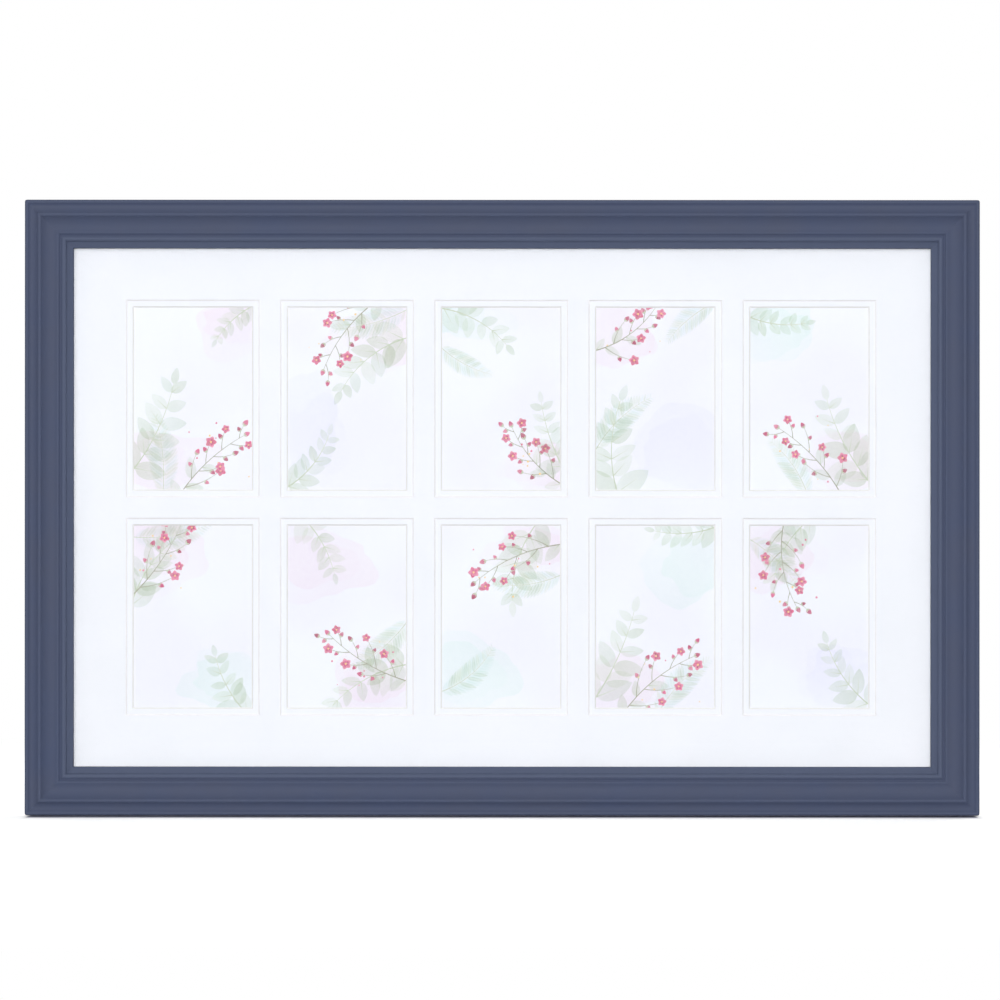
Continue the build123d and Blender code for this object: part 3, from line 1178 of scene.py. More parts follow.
@dataclass
class PrintDesign:
    """Draws one card's washes and sprays, in millimetres from the card's middle."""

    window: Vector
    palette: Palette
    draw: random.Random
    shapes: list[Ink]
    tone_play: Span = (-0.1, 0.1)
    leaf_lift: float = 0.35
    petal_lift: float = 0.2
    dot_lift: float = 0.25
    stem_lift: float = 0.3
    flipped_share: float = 0.3
    leaf_steps: int = 9
    leaf_lean: float = 0.8
    leaf_fullness: float = 0.75
    vein_places: tuple[float, ...] = (0.0, 0.3, 0.62)
    vein_width: Span = (0.55, 0.15)
    disc_sides: int = 8
    petals: int = 5
    petal_root: float = 0.08
    petal_width: float = 0.86
    blush_length: float = 0.62
    blush_width: float = 0.42
    pollen_radius: float = 0.2
    bud_width: float = 0.66
    sepal_turn: float = 30
    sepal_length: float = 0.5
    sepal_width: float = 0.2

    def spot(self, right: float, up: float) -> Vector:
        """Millimetres for a place in shares of the window."""
        return Vector((right * self.window.x, up * self.window.y))

    def shaded(self, tones: Sequence[Colour], lift: float) -> tuple[Colour, Colour]:
        """Pick a tone, and a lighter one of it that goes about a given share of the way to white."""
        base = self.draw.choice(tones)
        return base, lighter(base, min(1, max(0, lift + self.draw.uniform(*self.tone_play))))

    def ribbon(self, line: list[Vector], widths: Span, tone: Colour | None = None) -> None:
        """Draw a stem or vein along a line.

        Args:
            line: the line.
            widths: at its start and at its end.
            tone: its colour, if not the stems'.
        """
        start, end = widths
        last = len(line) - 1
        halves = [(start + (end - start) * number / last) / 2 for number in range(len(line))]
        left, right = either_side(line, halves)
        tone = tone or self.palette.stem
        pale = lighter(tone, self.stem_lift)
        self.shapes.append(Ink(right + left[::-1], line[0], line[-1], tone, pale, covers=True))

    def leaf(
        self, root: Vector, heading: float, length: float, width: float, tones: Sequence[Colour],
        covers: bool = False, veined: bool = False,
    ) -> None:
        """Draw a leaf or petal with a rounded body and a soft point.

        Args:
            root, heading: where it starts, and the way that it points, in degrees.
            length, width: its size.
            tones: colours to choose from.
            covers: hide what lies under it.
            veined: print a darker vein along its middle.
        """
        ahead = heading_vector(heading)
        side = Vector((-ahead.y, ahead.x))
        edge = []
        for step in range(1, self.leaf_steps):
            share = step / self.leaf_steps
            swell = math.sin(math.pi * share**self.leaf_lean) ** self.leaf_fullness
            edge.append((share * length, width / 2 * swell))
        tip = root + ahead * length
        outline = [root] + [root + ahead * along - side * half for along, half in edge]
        outline += [tip] + [root + ahead * along + side * half for along, half in reversed(edge)]
        first, last = self.shaded(tones, self.petal_lift if covers else self.leaf_lift)
        if self.draw.random() < self.flipped_share:
            first, last = last, first
        self.shapes.append(Ink(outline, root, tip, first, last, covers))
        if veined:
            middle = [root + ahead * length * share for share in self.vein_places]
            self.ribbon(middle, self.vein_width, self.palette.vein)

    def disc(self, centre: Vector, radius: float, tones: Sequence[Colour]) -> None:
        """Draw a round dot.

        Args:
            centre, radius: its place and size.
            tones: colours to choose from.
        """
        sides = self.disc_sides
        outline = [centre + heading_vector(360 * number / sides) * radius for number in range(sides)]
        first, last = self.shaded(tones, self.dot_lift)
        self.shapes.append(Ink(outline, outline[sides // 2], outline[0], first, last, covers=True))

    def blossom(self, centre: Vector, radius: float) -> None:
        """Draw five petals, darker towards the yellow middle.

        Args:
            centre, radius: its place and size.
        """
        between = 360 / self.petals
        turn = self.draw.uniform(0, between)
        length, width = radius * self.blush_length, radius * self.blush_width
        for number in range(self.petals):
            ahead = turn + between * number
            root = centre + heading_vector(ahead) * radius * self.petal_root
            self.leaf(root, ahead, radius, radius * self.petal_width, self.palette.petal, covers=True)
            self.leaf(root, ahead, length, width, self.palette.rose, covers=True)
        self.disc(centre, radius * self.pollen_radius, (self.palette.pollen,))

    def bud(self, root: Vector, heading: float, length: float) -> None:
        """Draw a closed bud between two small sepals.

        Args:
            root, heading: where it starts, and the way that it points.
            length: its size.
        """
        self.leaf(root, heading, length, length * self.bud_width, self.palette.rose, covers=True)
        size, width = length * self.sepal_length, length * self.sepal_width
        for turn in (-self.sepal_turn, self.sepal_turn):
            self.leaf(root, heading + turn, size, width, (self.palette.vein,), covers=True)


@dataclass(frozen=True)
class LeafyTwig:
    """Round leaves in pairs, smaller towards the tip. Sizes are shares of the stem's length."""

    steps: int = 12
    leaf_length: float = 0.35
    leaf_taper: float = 0.015
    length_play: Span = (0.85, 1.15)
    spread: Span = (34, 70)
    leaf_width: Span = (0.46, 0.6)
    veined_share: float = 0.6
    tip_length: float = 0.17
    tip_width: float = 0.08
    stem_width: Span = (0.9, 0.4)

    def grow(self, design: PrintDesign, stem: Stem) -> None:
        """Draw the twig.

        Args:
            design: what it is drawn in.
            stem: the stem that it grows along.
        """
        draw, tones = design.draw, design.palette.sage
        line, turns = stem.walk(self.steps)
        for step in range(1, self.steps, 2):
            size = stem.length * (self.leaf_length - self.leaf_taper * step) * draw.uniform(*self.length_play)
            for side in (-1, 1):
                heading = turns[step] + side * draw.uniform(*self.spread)
                width = size * draw.uniform(*self.leaf_width)
                veined = draw.random() < self.veined_share
                design.leaf(line[step], heading, size, width, tones, veined=veined)
        size, width = stem.length * self.tip_length, stem.length * self.tip_width
        design.leaf(line[-1], turns[-1], size, width, tones)
        design.ribbon(line, self.stem_width, design.palette.vein)


@dataclass(frozen=True)
class Frond:
    """Fine pale leaflets on both sides of a thin stem."""

    steps: int = 24
    first: int = 2
    leaflet_length: float = 0.25
    swell: float = 0.6
    swell_reach: float = 0.92
    spread: float = 48
    leaflet_width: float = 0.24
    stem_width: Span = (0.5, 0.25)

    def grow(self, design: PrintDesign, stem: Stem) -> None:
        """Draw the frond.

        Args:
            design: what it is drawn in.
            stem: the stem that it grows along.
        """
        tones = design.palette.mist + design.palette.sage[2:]
        line, turns = stem.walk(self.steps)
        design.ribbon(line, self.stem_width, design.palette.vein)
        for step in range(self.first, self.steps + 1):
            swell = math.sin(math.pi * (step / self.steps) ** self.swell * self.swell_reach)
            size = stem.length * self.leaflet_length * swell
            for side in (-1, 1):
                heading = turns[step] + side * self.spread
                design.leaf(line[step], heading, size, size * self.leaflet_width, tones)


@dataclass(frozen=True)
class FloweringStem:
    """A branching stem of blossoms and buds, with a few leaves low on it and loose dots round it."""

    steps: int = 18
    leaves_at: tuple[int, ...] = (1, 3, 5, 8)
    leaf_length: Span = (0.17, 0.24)
    leaf_spread: Span = (35, 60)
    leaf_width: float = 0.5
    stem_width: Span = (0.8, 0.4)
    first_shoot: int = 3
    shoot_length: float = 0.34
    shoot_taper: float = 0.026
    shoot_play: Span = (0.75, 1.25)
    shoot_spread: Span = (36, 58)
    shoot_bend: float = 30
    shoot_steps: int = 6
    shoot_width: Span = (0.55, 0.35)
    side_bud_turn: float = 50
    side_bud: Span = (4.2, 5.4)
    tip_bud: Span = (5.0, 6.4)
    end_bud: float = 5.6
    blossom: Span = (3.2, 4.4)
    dots: int = 8
    dots_at: float = 0.6
    dots_reach: float = 0.45
    dot_radius: Span = (0.4, 0.95)
    yellow_share: float = 0.6

    def grow(self, design: PrintDesign, stem: Stem) -> None:
        """Draw the stem with all it carries.

        Args:
            design: what it is drawn in.
            stem: the stem that it grows along.
        """
        draw = design.draw
        line, turns = stem.walk(self.steps)
        for step in self.leaves_at:
            side = 1 if step % 4 == 1 else -1
            size = draw.uniform(*self.leaf_length) * stem.length
            heading = turns[step] + side * draw.uniform(*self.leaf_spread)
            design.leaf(line[step], heading, size, size * self.leaf_width, design.palette.sage, veined=True)
        design.ribbon(line, self.stem_width)
        tips = []
        for number, step in enumerate(range(self.first_shoot, self.steps, 2)):
            side = 1 if number % 2 else -1
            reach = self.shoot_length - self.shoot_taper * number
            reach = stem.length * reach * draw.uniform(*self.shoot_play)
            heading = turns[step] + side * draw.uniform(*self.shoot_spread)
            shoot = Stem(line[step], heading, reach, -side * self.shoot_bend)
            spots, faced = shoot.walk(self.shoot_steps)
            design.ribbon(spots, self.shoot_width)
            tips.append((spots[-1], faced[-1]))
            middle = self.shoot_steps // 2
            heading = faced[middle] + side * self.side_bud_turn
            design.bud(spots[middle], heading, draw.uniform(*self.side_bud))
        for number, (tip, faced) in enumerate(tips):
            if number % 3 == 1:
                design.bud(tip, faced, draw.uniform(*self.tip_bud))
            else:
                design.blossom(tip, draw.uniform(*self.blossom))
        design.bud(line[-1], turns[-1], self.end_bud)
        middle = stem.root + heading_vector(stem.heading + stem.bend / 2) * stem.length * self.dots_at
        self.scatter(design, middle, stem.length * self.dots_reach)

    def scatter(self, design: PrintDesign, middle: Vector, reach: float) -> None:
        """Draw loose yellow and rose dots.

        Args:
            design: what they are drawn in.
            middle, reach: the round place that they lie in.
        """
        draw, palette = design.draw, design.palette
        for _ in range(self.dots):
            at = middle + heading_vector(draw.uniform(0, 360)) * reach * math.sqrt(draw.random())
            tones = (palette.pollen,) if draw.random() < self.yellow_share else palette.petal
            design.disc(at, draw.uniform(*self.dot_radius), tones)


class Motif(Enum):
    """What a printed spray is made of."""

    LEAVES = LeafyTwig()
    FERN = Frond()
    BLOSSOMS = FloweringStem()


@dataclass(frozen=True)
class Spray:
    """One spray on a card: where it is rooted, in shares of the window, and how it grows."""

    motif: Motif
    right: float
    up: float
    heading: float
    length: float
    bend: float

    def print_on(self, design: PrintDesign) -> None:
        """Draw the spray."""
        length = self.length * design.window.y
        self.motif.value.grow(design, Stem(design.spot(self.right, self.up), self.heading, length, self.bend))


@dataclass(frozen=True)
class Wash:
    """A pale pool of thinned colour behind the sprays, its place in shares of the window."""

    tone: Colour
    right: float
    up: float
    reach_right: float
    reach_up: float
    pool_sizes: Span = (1.0, 0.72)
    points: int = 60
    wander: float = 0.45
    last_phase: float = 9
    broad_waves: float = 1.1
    fine_waves: float = 3
    fine_share: float = 0.3
    tone_reach: float = 0.6
    edge_lift: float = 0.75

    def print_on(self, design: PrintDesign) -> None:
        """Draw the pool, and a smaller one within it, each with a wandering edge.

        Args:
            design: what they are drawn in.
        """
        middle = design.spot(self.right, self.up)
        reach = design.spot(self.reach_right, self.reach_up)
        phases = [design.draw.uniform(0, self.last_phase) for _ in self.pool_sizes]
        for size, phase in zip(self.pool_sizes, phases):
            outline = []
            for number in range(self.points):
                ahead = heading_vector(360 / self.points * number)
                broad = noise.noise(Vector((*(ahead * self.broad_waves), phase)))
                fine = noise.noise(Vector((*(ahead * self.fine_waves), phase)))
                far = size * (1 + self.wander * (broad + fine * self.fine_share))
                outline.append(middle + Vector((ahead.x * reach.x, ahead.y * reach.y)) * far)
            across = heading_vector(design.draw.uniform(0, 360)) * reach.length * self.tone_reach
            edge = lighter(self.tone, self.edge_lift)
            design.shapes.append(Ink(outline, middle - across, middle + across, self.tone, edge))


@dataclass
class PhotoCards:
    """Ten printed cards, each a thin slab whose front is divided along its printed shapes."""

    overlap: float = 4 * MM
    grid: float = 4.5
    seed: int = 6
    trim_share: float = 0.999
    rim_share: float = 0.99995
    same_point: float = 1e-4
    cloud_scale: float = 0.018
    cloud_contrast: float = 1.4
    cloud_step: float = 5.3
    palette: Palette = Palette()

    def designs(self) -> tuple[tuple[Wash | Spray, ...], ...]:
        """What is printed on each card, in the order of printing.

        Returns:
            The washes and sprays of every card, the top row's cards first.
        """
        leaves, fern, blossoms = (partial(Spray, motif) for motif in Motif)
        tones = self.palette.blush, self.palette.mint, self.palette.lilac
        pink, green, lilac = (partial(Wash, tone) for tone in tones)
        return (
            (pink(-0.3, -0.36, 0.44, 0.2), pink(0.34, 0.4, 0.4, 0.16),
             fern(-0.26, -0.56, 84, 0.46, 22), leaves(-0.54, -0.42, 52, 0.56, 26),
             blossoms(-0.14, -0.56, 58, 0.52, -30), leaves(0.54, 0.52, 206, 0.3, 34)),
            (pink(0.32, 0.34, 0.5, 0.2), lilac(-0.3, -0.2, 0.36, 0.3),
             leaves(0.54, 0.34, 196, 0.5, 48), fern(0.54, 0.5, 208, 0.44, -26),
             blossoms(0.3, 0.56, 214, 0.52, 36), leaves(-0.54, -0.5, 30, 0.4, 44)),
            (pink(0.34, -0.36, 0.44, 0.16), green(-0.34, 0.44, 0.4, 0.12),
             leaves(-0.54, 0.5, -8, 0.44, -44), fern(-0.54, 0.3, -44, 0.34, 30),
             blossoms(0.54, -0.48, 150, 0.44, -38), leaves(0.54, -0.4, 118, 0.4, -20)),
            (pink(-0.3, 0.34, 0.4, 0.2), lilac(0.26, -0.3, 0.5, 0.26),
             fern(-0.52, -0.3, 62, 0.44, -36), leaves(-0.3, -0.56, 108, 0.56, -40),
             blossoms(-0.54, 0.26, 14, 0.46, 46), fern(0.54, 0.54, 204, 0.36, 30)),
            (pink(0.3, -0.32, 0.46, 0.18), green(-0.3, 0.36, 0.44, 0.2),
             leaves(0.54, -0.48, 130, 0.54, -26), fern(0.0, -0.56, 106, 0.4, 36),
             blossoms(0.3, -0.56, 118, 0.54, 30), leaves(-0.54, 0.46, -24, 0.34, 36)),
            (pink(-0.28, 0.34, 0.46, 0.2), green(0.28, -0.34, 0.4, 0.18),
             leaves(-0.54, 0.02, 76, 0.5, -40), fern(-0.54, 0.44, -6, 0.44, 30),
             blossoms(-0.54, 0.1, 44, 0.52, 24), leaves(0.5, -0.56, 136, 0.4, -34)),
            (pink(0.28, -0.32, 0.46, 0.2), pink(-0.28, 0.3, 0.5, 0.2),
             fern(0.54, 0.0, 236, 0.42, -30), leaves(0.54, -0.26, 190, 0.5, 40),
             blossoms(0.54, -0.36, 164, 0.52, -30), leaves(-0.4, 0.56, -44, 0.38, -34)),
            (pink(0.3, 0.38, 0.46, 0.16), green(-0.3, -0.3, 0.44, 0.2),
             leaves(0.36, 0.56, 230, 0.52, 44), fern(0.54, 0.24, 206, 0.4, -36),
             blossoms(0.54, 0.4, 186, 0.54, 36), fern(-0.54, -0.42, 18, 0.4, 44)),
            (pink(-0.28, -0.34, 0.46, 0.18), green(0.3, 0.3, 0.4, 0.24),
             leaves(-0.54, -0.48, 56, 0.56, 20), fern(0.0, -0.56, 62, 0.44, -30),
             blossoms(-0.3, -0.56, 56, 0.54, -34), leaves(0.54, 0.5, 200, 0.36, -34)),
            (pink(-0.3, 0.34, 0.44, 0.2), lilac(0.28, -0.34, 0.46, 0.2),
             fern(-0.54, 0.44, -30, 0.42, -30), leaves(0.06, 0.56, 214, 0.44, 50),
             blossoms(-0.2, 0.56, -104, 0.52, 44), leaves(0.54, -0.5, 142, 0.44, -36)),
        )

    @staticmethod
    def trimmed(outline: list[Vector], half: Vector) -> list[Vector]:
        """Cut an outline at each edge of the card in turn.

        Args:
            outline: the outline.
            half: half of the card's width and height.

        Returns:
            The part of it inside the card.
        """
        for axis, sign in ((0, 1), (0, -1), (1, 1), (1, -1)):
            limit, kept = half[axis], []
            for number, point in enumerate(outline):
                before = outline[number - 1]
                inside, was_inside = point[axis] * sign <= limit, before[axis] * sign <= limit
                if inside != was_inside:
                    share = (limit * sign - before[axis]) / (point[axis] - before[axis])
                    kept.append(before.lerp(point, share))
                if inside:
                    kept.append(point)
            outline = kept
        return outline

    def printed(self, number: int, half: Vector) -> list[Ink]:
        """Print one card.

        Args:
            number: the card's number.
            half: half of its width and height, in millimetres.

        Returns:
            The shapes on it, trimmed to it, the lowest first.
        """
        window = (half - Vector((self.overlap, self.overlap)) / MM) * 2
        design = PrintDesign(window, self.palette, random.Random(self.seed * 100 + number), [])
        for mark in self.designs()[number - 1]:
            mark.print_on(design)
        for ink in design.shapes:
            ink.outline = self.trimmed(ink.outline, half * self.trim_share)
        return [ink for ink in design.shapes if len(ink.outline) > 2]

    def paper_tone(self, at: Vector, number: int) -> Colour:
        """Colour of the bare paper.

        Args:
            at: the place, in millimetres from the card's middle.
            number: the card's number.

        Returns:
            The colour there.
        """
        across, up = at.x * self.cloud_scale, at.y * self.cloud_scale
        cloud = noise.noise(Vector((across, up, number * self.cloud_step)))
        share = min(1, max(0, 0.5 + cloud * self.cloud_contrast))
        return tuple(Vector(self.palette.paper).lerp(Vector(self.palette.cloud), share))

    def card(self, number: int) -> Object:
        """Make one card as a closed slab, its colours on its face corners.

        Args:
            number: the card's number.

        Returns:
            The card.
        """
        low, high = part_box(f"photo_card_{number}")
        centre, half = (low + high) / 2, (high - low) / 2 / MM
        half = Vector((half.x, half.z))
        inks = self.printed(number, half)
        columns, rows = (max(2, round(2 * size / self.grid)) for size in half)
        points = [
            Vector((half.x * (2 * column / columns - 1), half.y * (2 * row / rows - 1)))
            for row in range(rows + 1)
            for column in range(columns + 1)
        ]
        outlines = []
        for ink in inks:
            outlines.append(list(range(len(points), len(points) + len(ink.outline))))
            points += ink.outline
        found, _, faces, _, _, sources = delaunay_2d_cdt(points, [], outlines, 0, self.same_point)

        rim = self.rim_share
        border = [i for i, p in enumerate(found) if max(abs(p.x) / half.x, abs(p.y) / half.y) > rim]
        border.sort(key=lambda i: math.atan2(found[i].y / half.y, found[i].x / half.x))
        corners = [(centre.x + p.x * MM, low.y, centre.z + p.y * MM) for p in found]
        corners += [(centre.x + found[i].x * MM, high.y, centre.z + found[i].y * MM) for i in border]
        behind = {i: len(found) + place for place, i in enumerate(border)}
        ring = list(zip(border, border[1:] + border[:1]))
        sides = [(b, a, behind[a], behind[b]) for a, b in ring]
        mesh = new_mesh("card", corners, [*faces, *sides, [behind[i] for i in reversed(border)]])

        colours = mesh.attributes.new("print", "FLOAT_COLOR", "CORNER")
        for polygon in mesh.polygons:
            layers = sorted(sources[polygon.index]) if polygon.index < len(faces) else ()
            for loop in polygon.loop_indices:
                vertex = mesh.loops[loop].vertex_index
                at = found[vertex] if vertex < len(found) else found[border[vertex - len(found)]]
                tone = self.paper_tone(at, number)
                for layer in layers:
                    tone = inks[layer].over(tone, at)
                colours.data[loop].color = (*tone, 1)
        return new_object(f"printed_card_{number}", mesh)

    def build(self) -> None:
        """Make, dress and place the cards."""
        finish = PrintFinish().material()
        for number in range(1, len(self.designs()) + 1):
            settle(self.card(number), finish, "card_print", STATIC_BODY, f"photo_card_{number}")


# Metalwork on the back


def arc_points(centre: Vector, radius: float, start: float, sweep: float, steps: int) -> list[Vector]:
    """Points along an arc, both its ends among them, its start and sweep in degrees."""
    return [centre + heading_vector(start + sweep * step / steps) * radius for step in range(steps + 1)]


@dataclass(frozen=True)
class BentStrip:
    """A stamped strip of sheet metal, bent along a path and eased at its edges.

    The outline and the holes on its middle line are given by distance along the strip. The path is the
    middle line of the bent strip seen from its side: ahead, and away from the wood.
    """

    outline: Sequence[Vector]
    holes: Sequence[Span]
    path: Sequence[Vector]
    thickness: float
    hole_sides: int = 24
    hair: float = 1e-7
    ease_share: float = 0.16
    eased_from: float = 50
    sharp_edge: float = 40

    def stamped(self) -> BMesh:
        """The flat blank with its holes.

        Returns:
            The blank, its outline's plane at the origin.
        """
        flat, turn = bmesh.new(), 360 / self.hole_sides
        loops = [self.outline]
        for at, radius in self.holes:
            around = [heading_vector(turn * k) * radius for k in range(self.hole_sides)]
            loops.append([Vector((at, 0)) + out for out in around])
        for loop in loops:
            rim = [flat.verts.new((p.x, p.y, 0)) for p in loop]
            for first, second in zip(rim, rim[1:] + rim[:1]):
                flat.edges.new((first, second))
        bmesh.ops.triangle_fill(flat, edges=flat.edges[:], use_beauty=True)
        return flat

    def bend(self, flat: BMesh) -> None:
        """Cut the blank where it bends, and lay it along the path.

        Args:
            flat: the blank.
        """
        lengths = [0.0]
        for first, second in zip(self.path, self.path[1:]):
            lengths.append(lengths[-1] + (second - first).length)
        for cut in lengths[1:-1]:
            everything = [*flat.verts, *flat.edges, *flat.faces]
            bmesh.ops.bisect_plane(
                flat, geom=everything, plane_co=(cut, 0, 0), plane_no=(1, 0, 0), dist=self.hair
            )
        for vertex in flat.verts:
            reached = vertex.co.x + self.hair
            number = max(k for k, length in enumerate(lengths[:-1]) if length <= reached)
            share = (vertex.co.x - lengths[number]) / (lengths[number + 1] - lengths[number])
            spot = self.path[number].lerp(self.path[number + 1], share)
            vertex.co = (spot.x, spot.y, vertex.co.y)

    def mesh(self, name: str) -> Mesh:
        """Make the strip.

        Args:
            name: its name.

        Returns:
            Its mesh: +X ahead, +Y away from the wood.
        """
        flat = self.stamped()
        self.bend(flat)
        sheet = new_object(name, mesh_of(name, flat))
        thicken = sheet.modifiers.new("thickness", "SOLIDIFY")
        thicken.thickness, thicken.offset, thicken.use_even_offset = self.thickness, 0, True
        ease = sheet.modifiers.new("eased edges", "BEVEL")
        ease.width, ease.segments, ease.limit_method = self.thickness * self.ease_share, 2, "ANGLE"
        ease.angle_limit = math.radians(self.eased_from)
        mesh = evaluated_mesh(sheet)
        bpy.data.objects.remove(sheet)
        close_up(mesh, self.sharp_edge)
        return mesh


@dataclass
class TurnButtons:
    """Ten pressed steel turn buttons, each on its own body."""

    reach: float = 20 * MM
    heel_radius: float = 5.5 * MM
    heel_steps: int = 22
    tip_radius: float = 3.2 * MM
    tip_steps: int = 14
    thickness: float = 0.9 * MM
    play: float = 0.1 * MM
    lift_length: float = 4.5 * MM
    lift_angle: float = 24
    lift_bend: float = 3 * MM
    lift_ease: float = 0.2
    lift_steps: int = 4
    hole_radius: float = SCREW_HOLE

    def blank(self) -> Mesh:
        """The button with its pivot at the origin and its tip ahead.

        Returns:
            Its mesh.
        """
        span = self.reach - self.tip_radius
        lean = math.degrees(math.asin((self.heel_radius - self.tip_radius) / span))
        heel = arc_points(Vector((0, 0)), self.heel_radius, 90 - lean, 180 + 2 * lean, self.heel_steps)
        tip = arc_points(Vector((span, 0)), self.tip_radius, -90 + lean, 180 - 2 * lean, self.tip_steps)
        shift = Vector((self.heel_radius, 0))
        middle = self.play + self.thickness / 2
        bend_at = self.reach - self.lift_length - self.lift_bend * self.lift_ease
        bend = Vector((bend_at, middle + self.lift_bend))
        curve = arc_points(bend, self.lift_bend, -90, self.lift_angle, self.lift_steps)
        tip_end = curve[-1] + heading_vector(self.lift_angle) * (self.reach - curve[-1].x)
        path = [Vector((-self.heel_radius, middle)), *curve, tip_end]
        hole = (self.heel_radius, self.hole_radius)
        outline = [point + shift for point in heel + tip]
        return BentStrip(outline, [hole], path, self.thickness).mesh("turn_button")

    def build(self) -> None:
        """Place a button at every turn joint."""
        blank, finish = self.blank(), ZINC.material()
        for node, pivot, outward in pivots("turn_button"):
            settle(placed(blank, f"pressed_{node}", pivot, -outward), finish, "zinc_steel", node, node)


@dataclass
class Hangers:
    """Four folded straps, and the bent wire ring that swings in each one's eye."""

    width: float = 10 * MM
    thickness: float = 0.7 * MM
    fold_gap: float = 0.02 * MM
    length: float = 15.5 * MM
    corner_radius: float = 3.5 * MM
    corner_steps: int = 8
    screw_distance: float = 8.2 * MM
    hole_radius: float = SCREW_HOLE
    closing_angle: float = 140
    eye_steps: int = 16
    foot_bend: float = 1.2 * MM
    foot_steps: int = 4
    wire_radius: float = 1.25 * MM
    eye_clearance: float = 0.08 * MM
    ring_inner_width: float = 12.5 * MM
    ring_inner_reach: float = 12.5 * MM
    ring_bend_radius: float = 2 * MM
    ring_rest_gap: float = 0.3 * MM
    ring_sharp_edge: float = 60
    ring_merge: float = 0.001 * MM

    @property
    def pivot_height(self) -> float:
        """How far the ring's bar lies off the rail."""
        return self.thickness + self.wire_radius + self.eye_clearance

    @property
    def ring_reach(self) -> float:
        """From the bar's middle line to the bow's."""
        return self.ring_inner_reach + self.wire_radius

    def strap_path(self) -> list[Vector]:
        """Middle line of the strip: flat on the wood, round the bar and back down onto itself.

        Returns:
            Its points: ahead, and away from the wood.
        """
        half = self.thickness / 2
        pivot = Vector((0, self.pivot_height))
        eye = arc_points(pivot, self.pivot_height - half, -90, 90 + self.closing_angle, self.eye_steps)
        down = heading_vector(self.closing_angle + 90)
        top = self.thickness * 1.5
        tangent = heading_vector(self.closing_angle - 180) * self.foot_bend
        drop = (eye[-1].y - (top + self.foot_bend + tangent.y)) / -down.y
        centre = eye[-1] + down * drop - tangent
        turn = self.closing_angle - 180
        foot = arc_points(centre, self.foot_bend, turn, -90 - turn, self.foot_steps)
        return [Vector((-self.length, half)), *eye, *foot, Vector((-self.length, top))]

    def strap_blank(self) -> Mesh:
        """The strap with the ring's axis over the origin and its screw behind.

        Returns:
            Its mesh.
        """
        path = self.strap_path()
        total = sum((b - a).length for a, b in zip(path, path[1:]))
        half, radius = self.width / 2, self.corner_radius
        outline = []
        for number, (x, y) in enumerate(((total, -half), (total, half), (0, half), (0, -half))):
            centre = Vector((x - math.copysign(radius, x - total / 2), y - math.copysign(radius, y)))
            outline += arc_points(centre, radius, -90 + 90 * number, 90, self.corner_steps)
        hole = self.length - self.screw_distance
        holes = [(hole, self.hole_radius), (total - hole, self.hole_radius)]
        return BentStrip(outline, holes, path, self.thickness - self.fold_gap).mesh("hanger_strap")

    @staticmethod
    def ring_tree() -> NodeTree:
        """Geometry Nodes that bend a round wire into a ring with one straight bar.

        Returns:
            The tree.
        """
        just_under_half = 0.4999
        inputs = {
            "Reach": 0.014, "Width": 0.015, "Wire Radius": 0.00125, "Bend Radius": 0.002,
            "Bend Steps": 12, "Wire Sides": 20, "Finish": "NodeSocketMaterial",
        }
        graph, given = new_group("bend_ring", GroupKind.SHAPE, inputs)
        size = {"Width": given["Reach"], "Height": given["Width"]}
        line = graph.step("CurvePrimitiveQuadrilateral", size)
        across = graph.axis(graph.step("InputPosition"), "X")
        bow = graph.math("MULTIPLY", given["Width"], just_under_half)
        extra = graph.math("SUBTRACT", bow, given["Bend Radius"])
        at_bow = graph.math("GREATER_THAN", across, 0.0)
        radius = graph.math("MULTIPLY_ADD", at_bow, extra, given["Bend Radius"])
        bends = {"Curve": line, "Count": given["Bend Steps"], "Radius": radius}
        line = graph.step("FilletCurve", bends, mode="POLY")
        shift = graph.joined(graph.math("MULTIPLY", given["Reach"], 0.5))
        move = {"Geometry": line, "Translation": shift, "Rotation": (math.pi / 2, 0, 0)}
        line = graph.step("Transform", move)
        round_wire = {"Resolution": given["Wire Sides"], "Radius": given["Wire Radius"]}
        profile = graph.step("CurvePrimitiveCircle", round_wire)
        wire = graph.step("CurveToMesh", {"Curve": line, "Profile Curve": profile})
        return graph.close_shape(wire, given["Finish"])

    def ring_blank(self, finish: Material) -> Mesh:
        """Bend one ring.

        Args:
            finish: its finish.

        Returns:
            Its mesh, with its bar's axis through the origin and its bow ahead.
        """
        former = new_object("ring_blank", new_mesh("ring_blank", [], []))
        width = self.ring_inner_width + 2 * self.wire_radius
        ring = run_tree(
            former, self.ring_tree(), Reach=self.ring_reach, Width=width, Wire_Radius=self.wire_radius,
            Bend_Radius=self.ring_bend_radius, Finish=finish,
        )
        bpy.data.objects.remove(former)
        close_up(ring, self.ring_sharp_edge, self.ring_merge)
        return ring

    def build(self) -> None:
        """Place a strap and a ring at every swing joint."""
        finish = ZINC.material()
        strap, ring = self.strap_blank(), self.ring_blank(finish)
        lean = math.asin((self.pivot_height - self.wire_radius - self.ring_rest_gap) / self.ring_reach)
        for node, pivot, outward in pivots("hanger_ring"):
            ahead = outward * math.cos(lean) - AWAY * math.sin(lean)
            up = AWAY * math.cos(lean) + outward * math.sin(lean)
            settle(placed(ring, f"bent_{node}", pivot, ahead, up), finish, "zinc_steel", node, node)
            strap_node = node.replace("ring", "strap")
            folded = placed(strap, f"folded_{strap_node}", Vector((pivot.x, 0, pivot.z)), outward)
            settle(folded, finish, "zinc_steel", STATIC_BODY, strap_node)


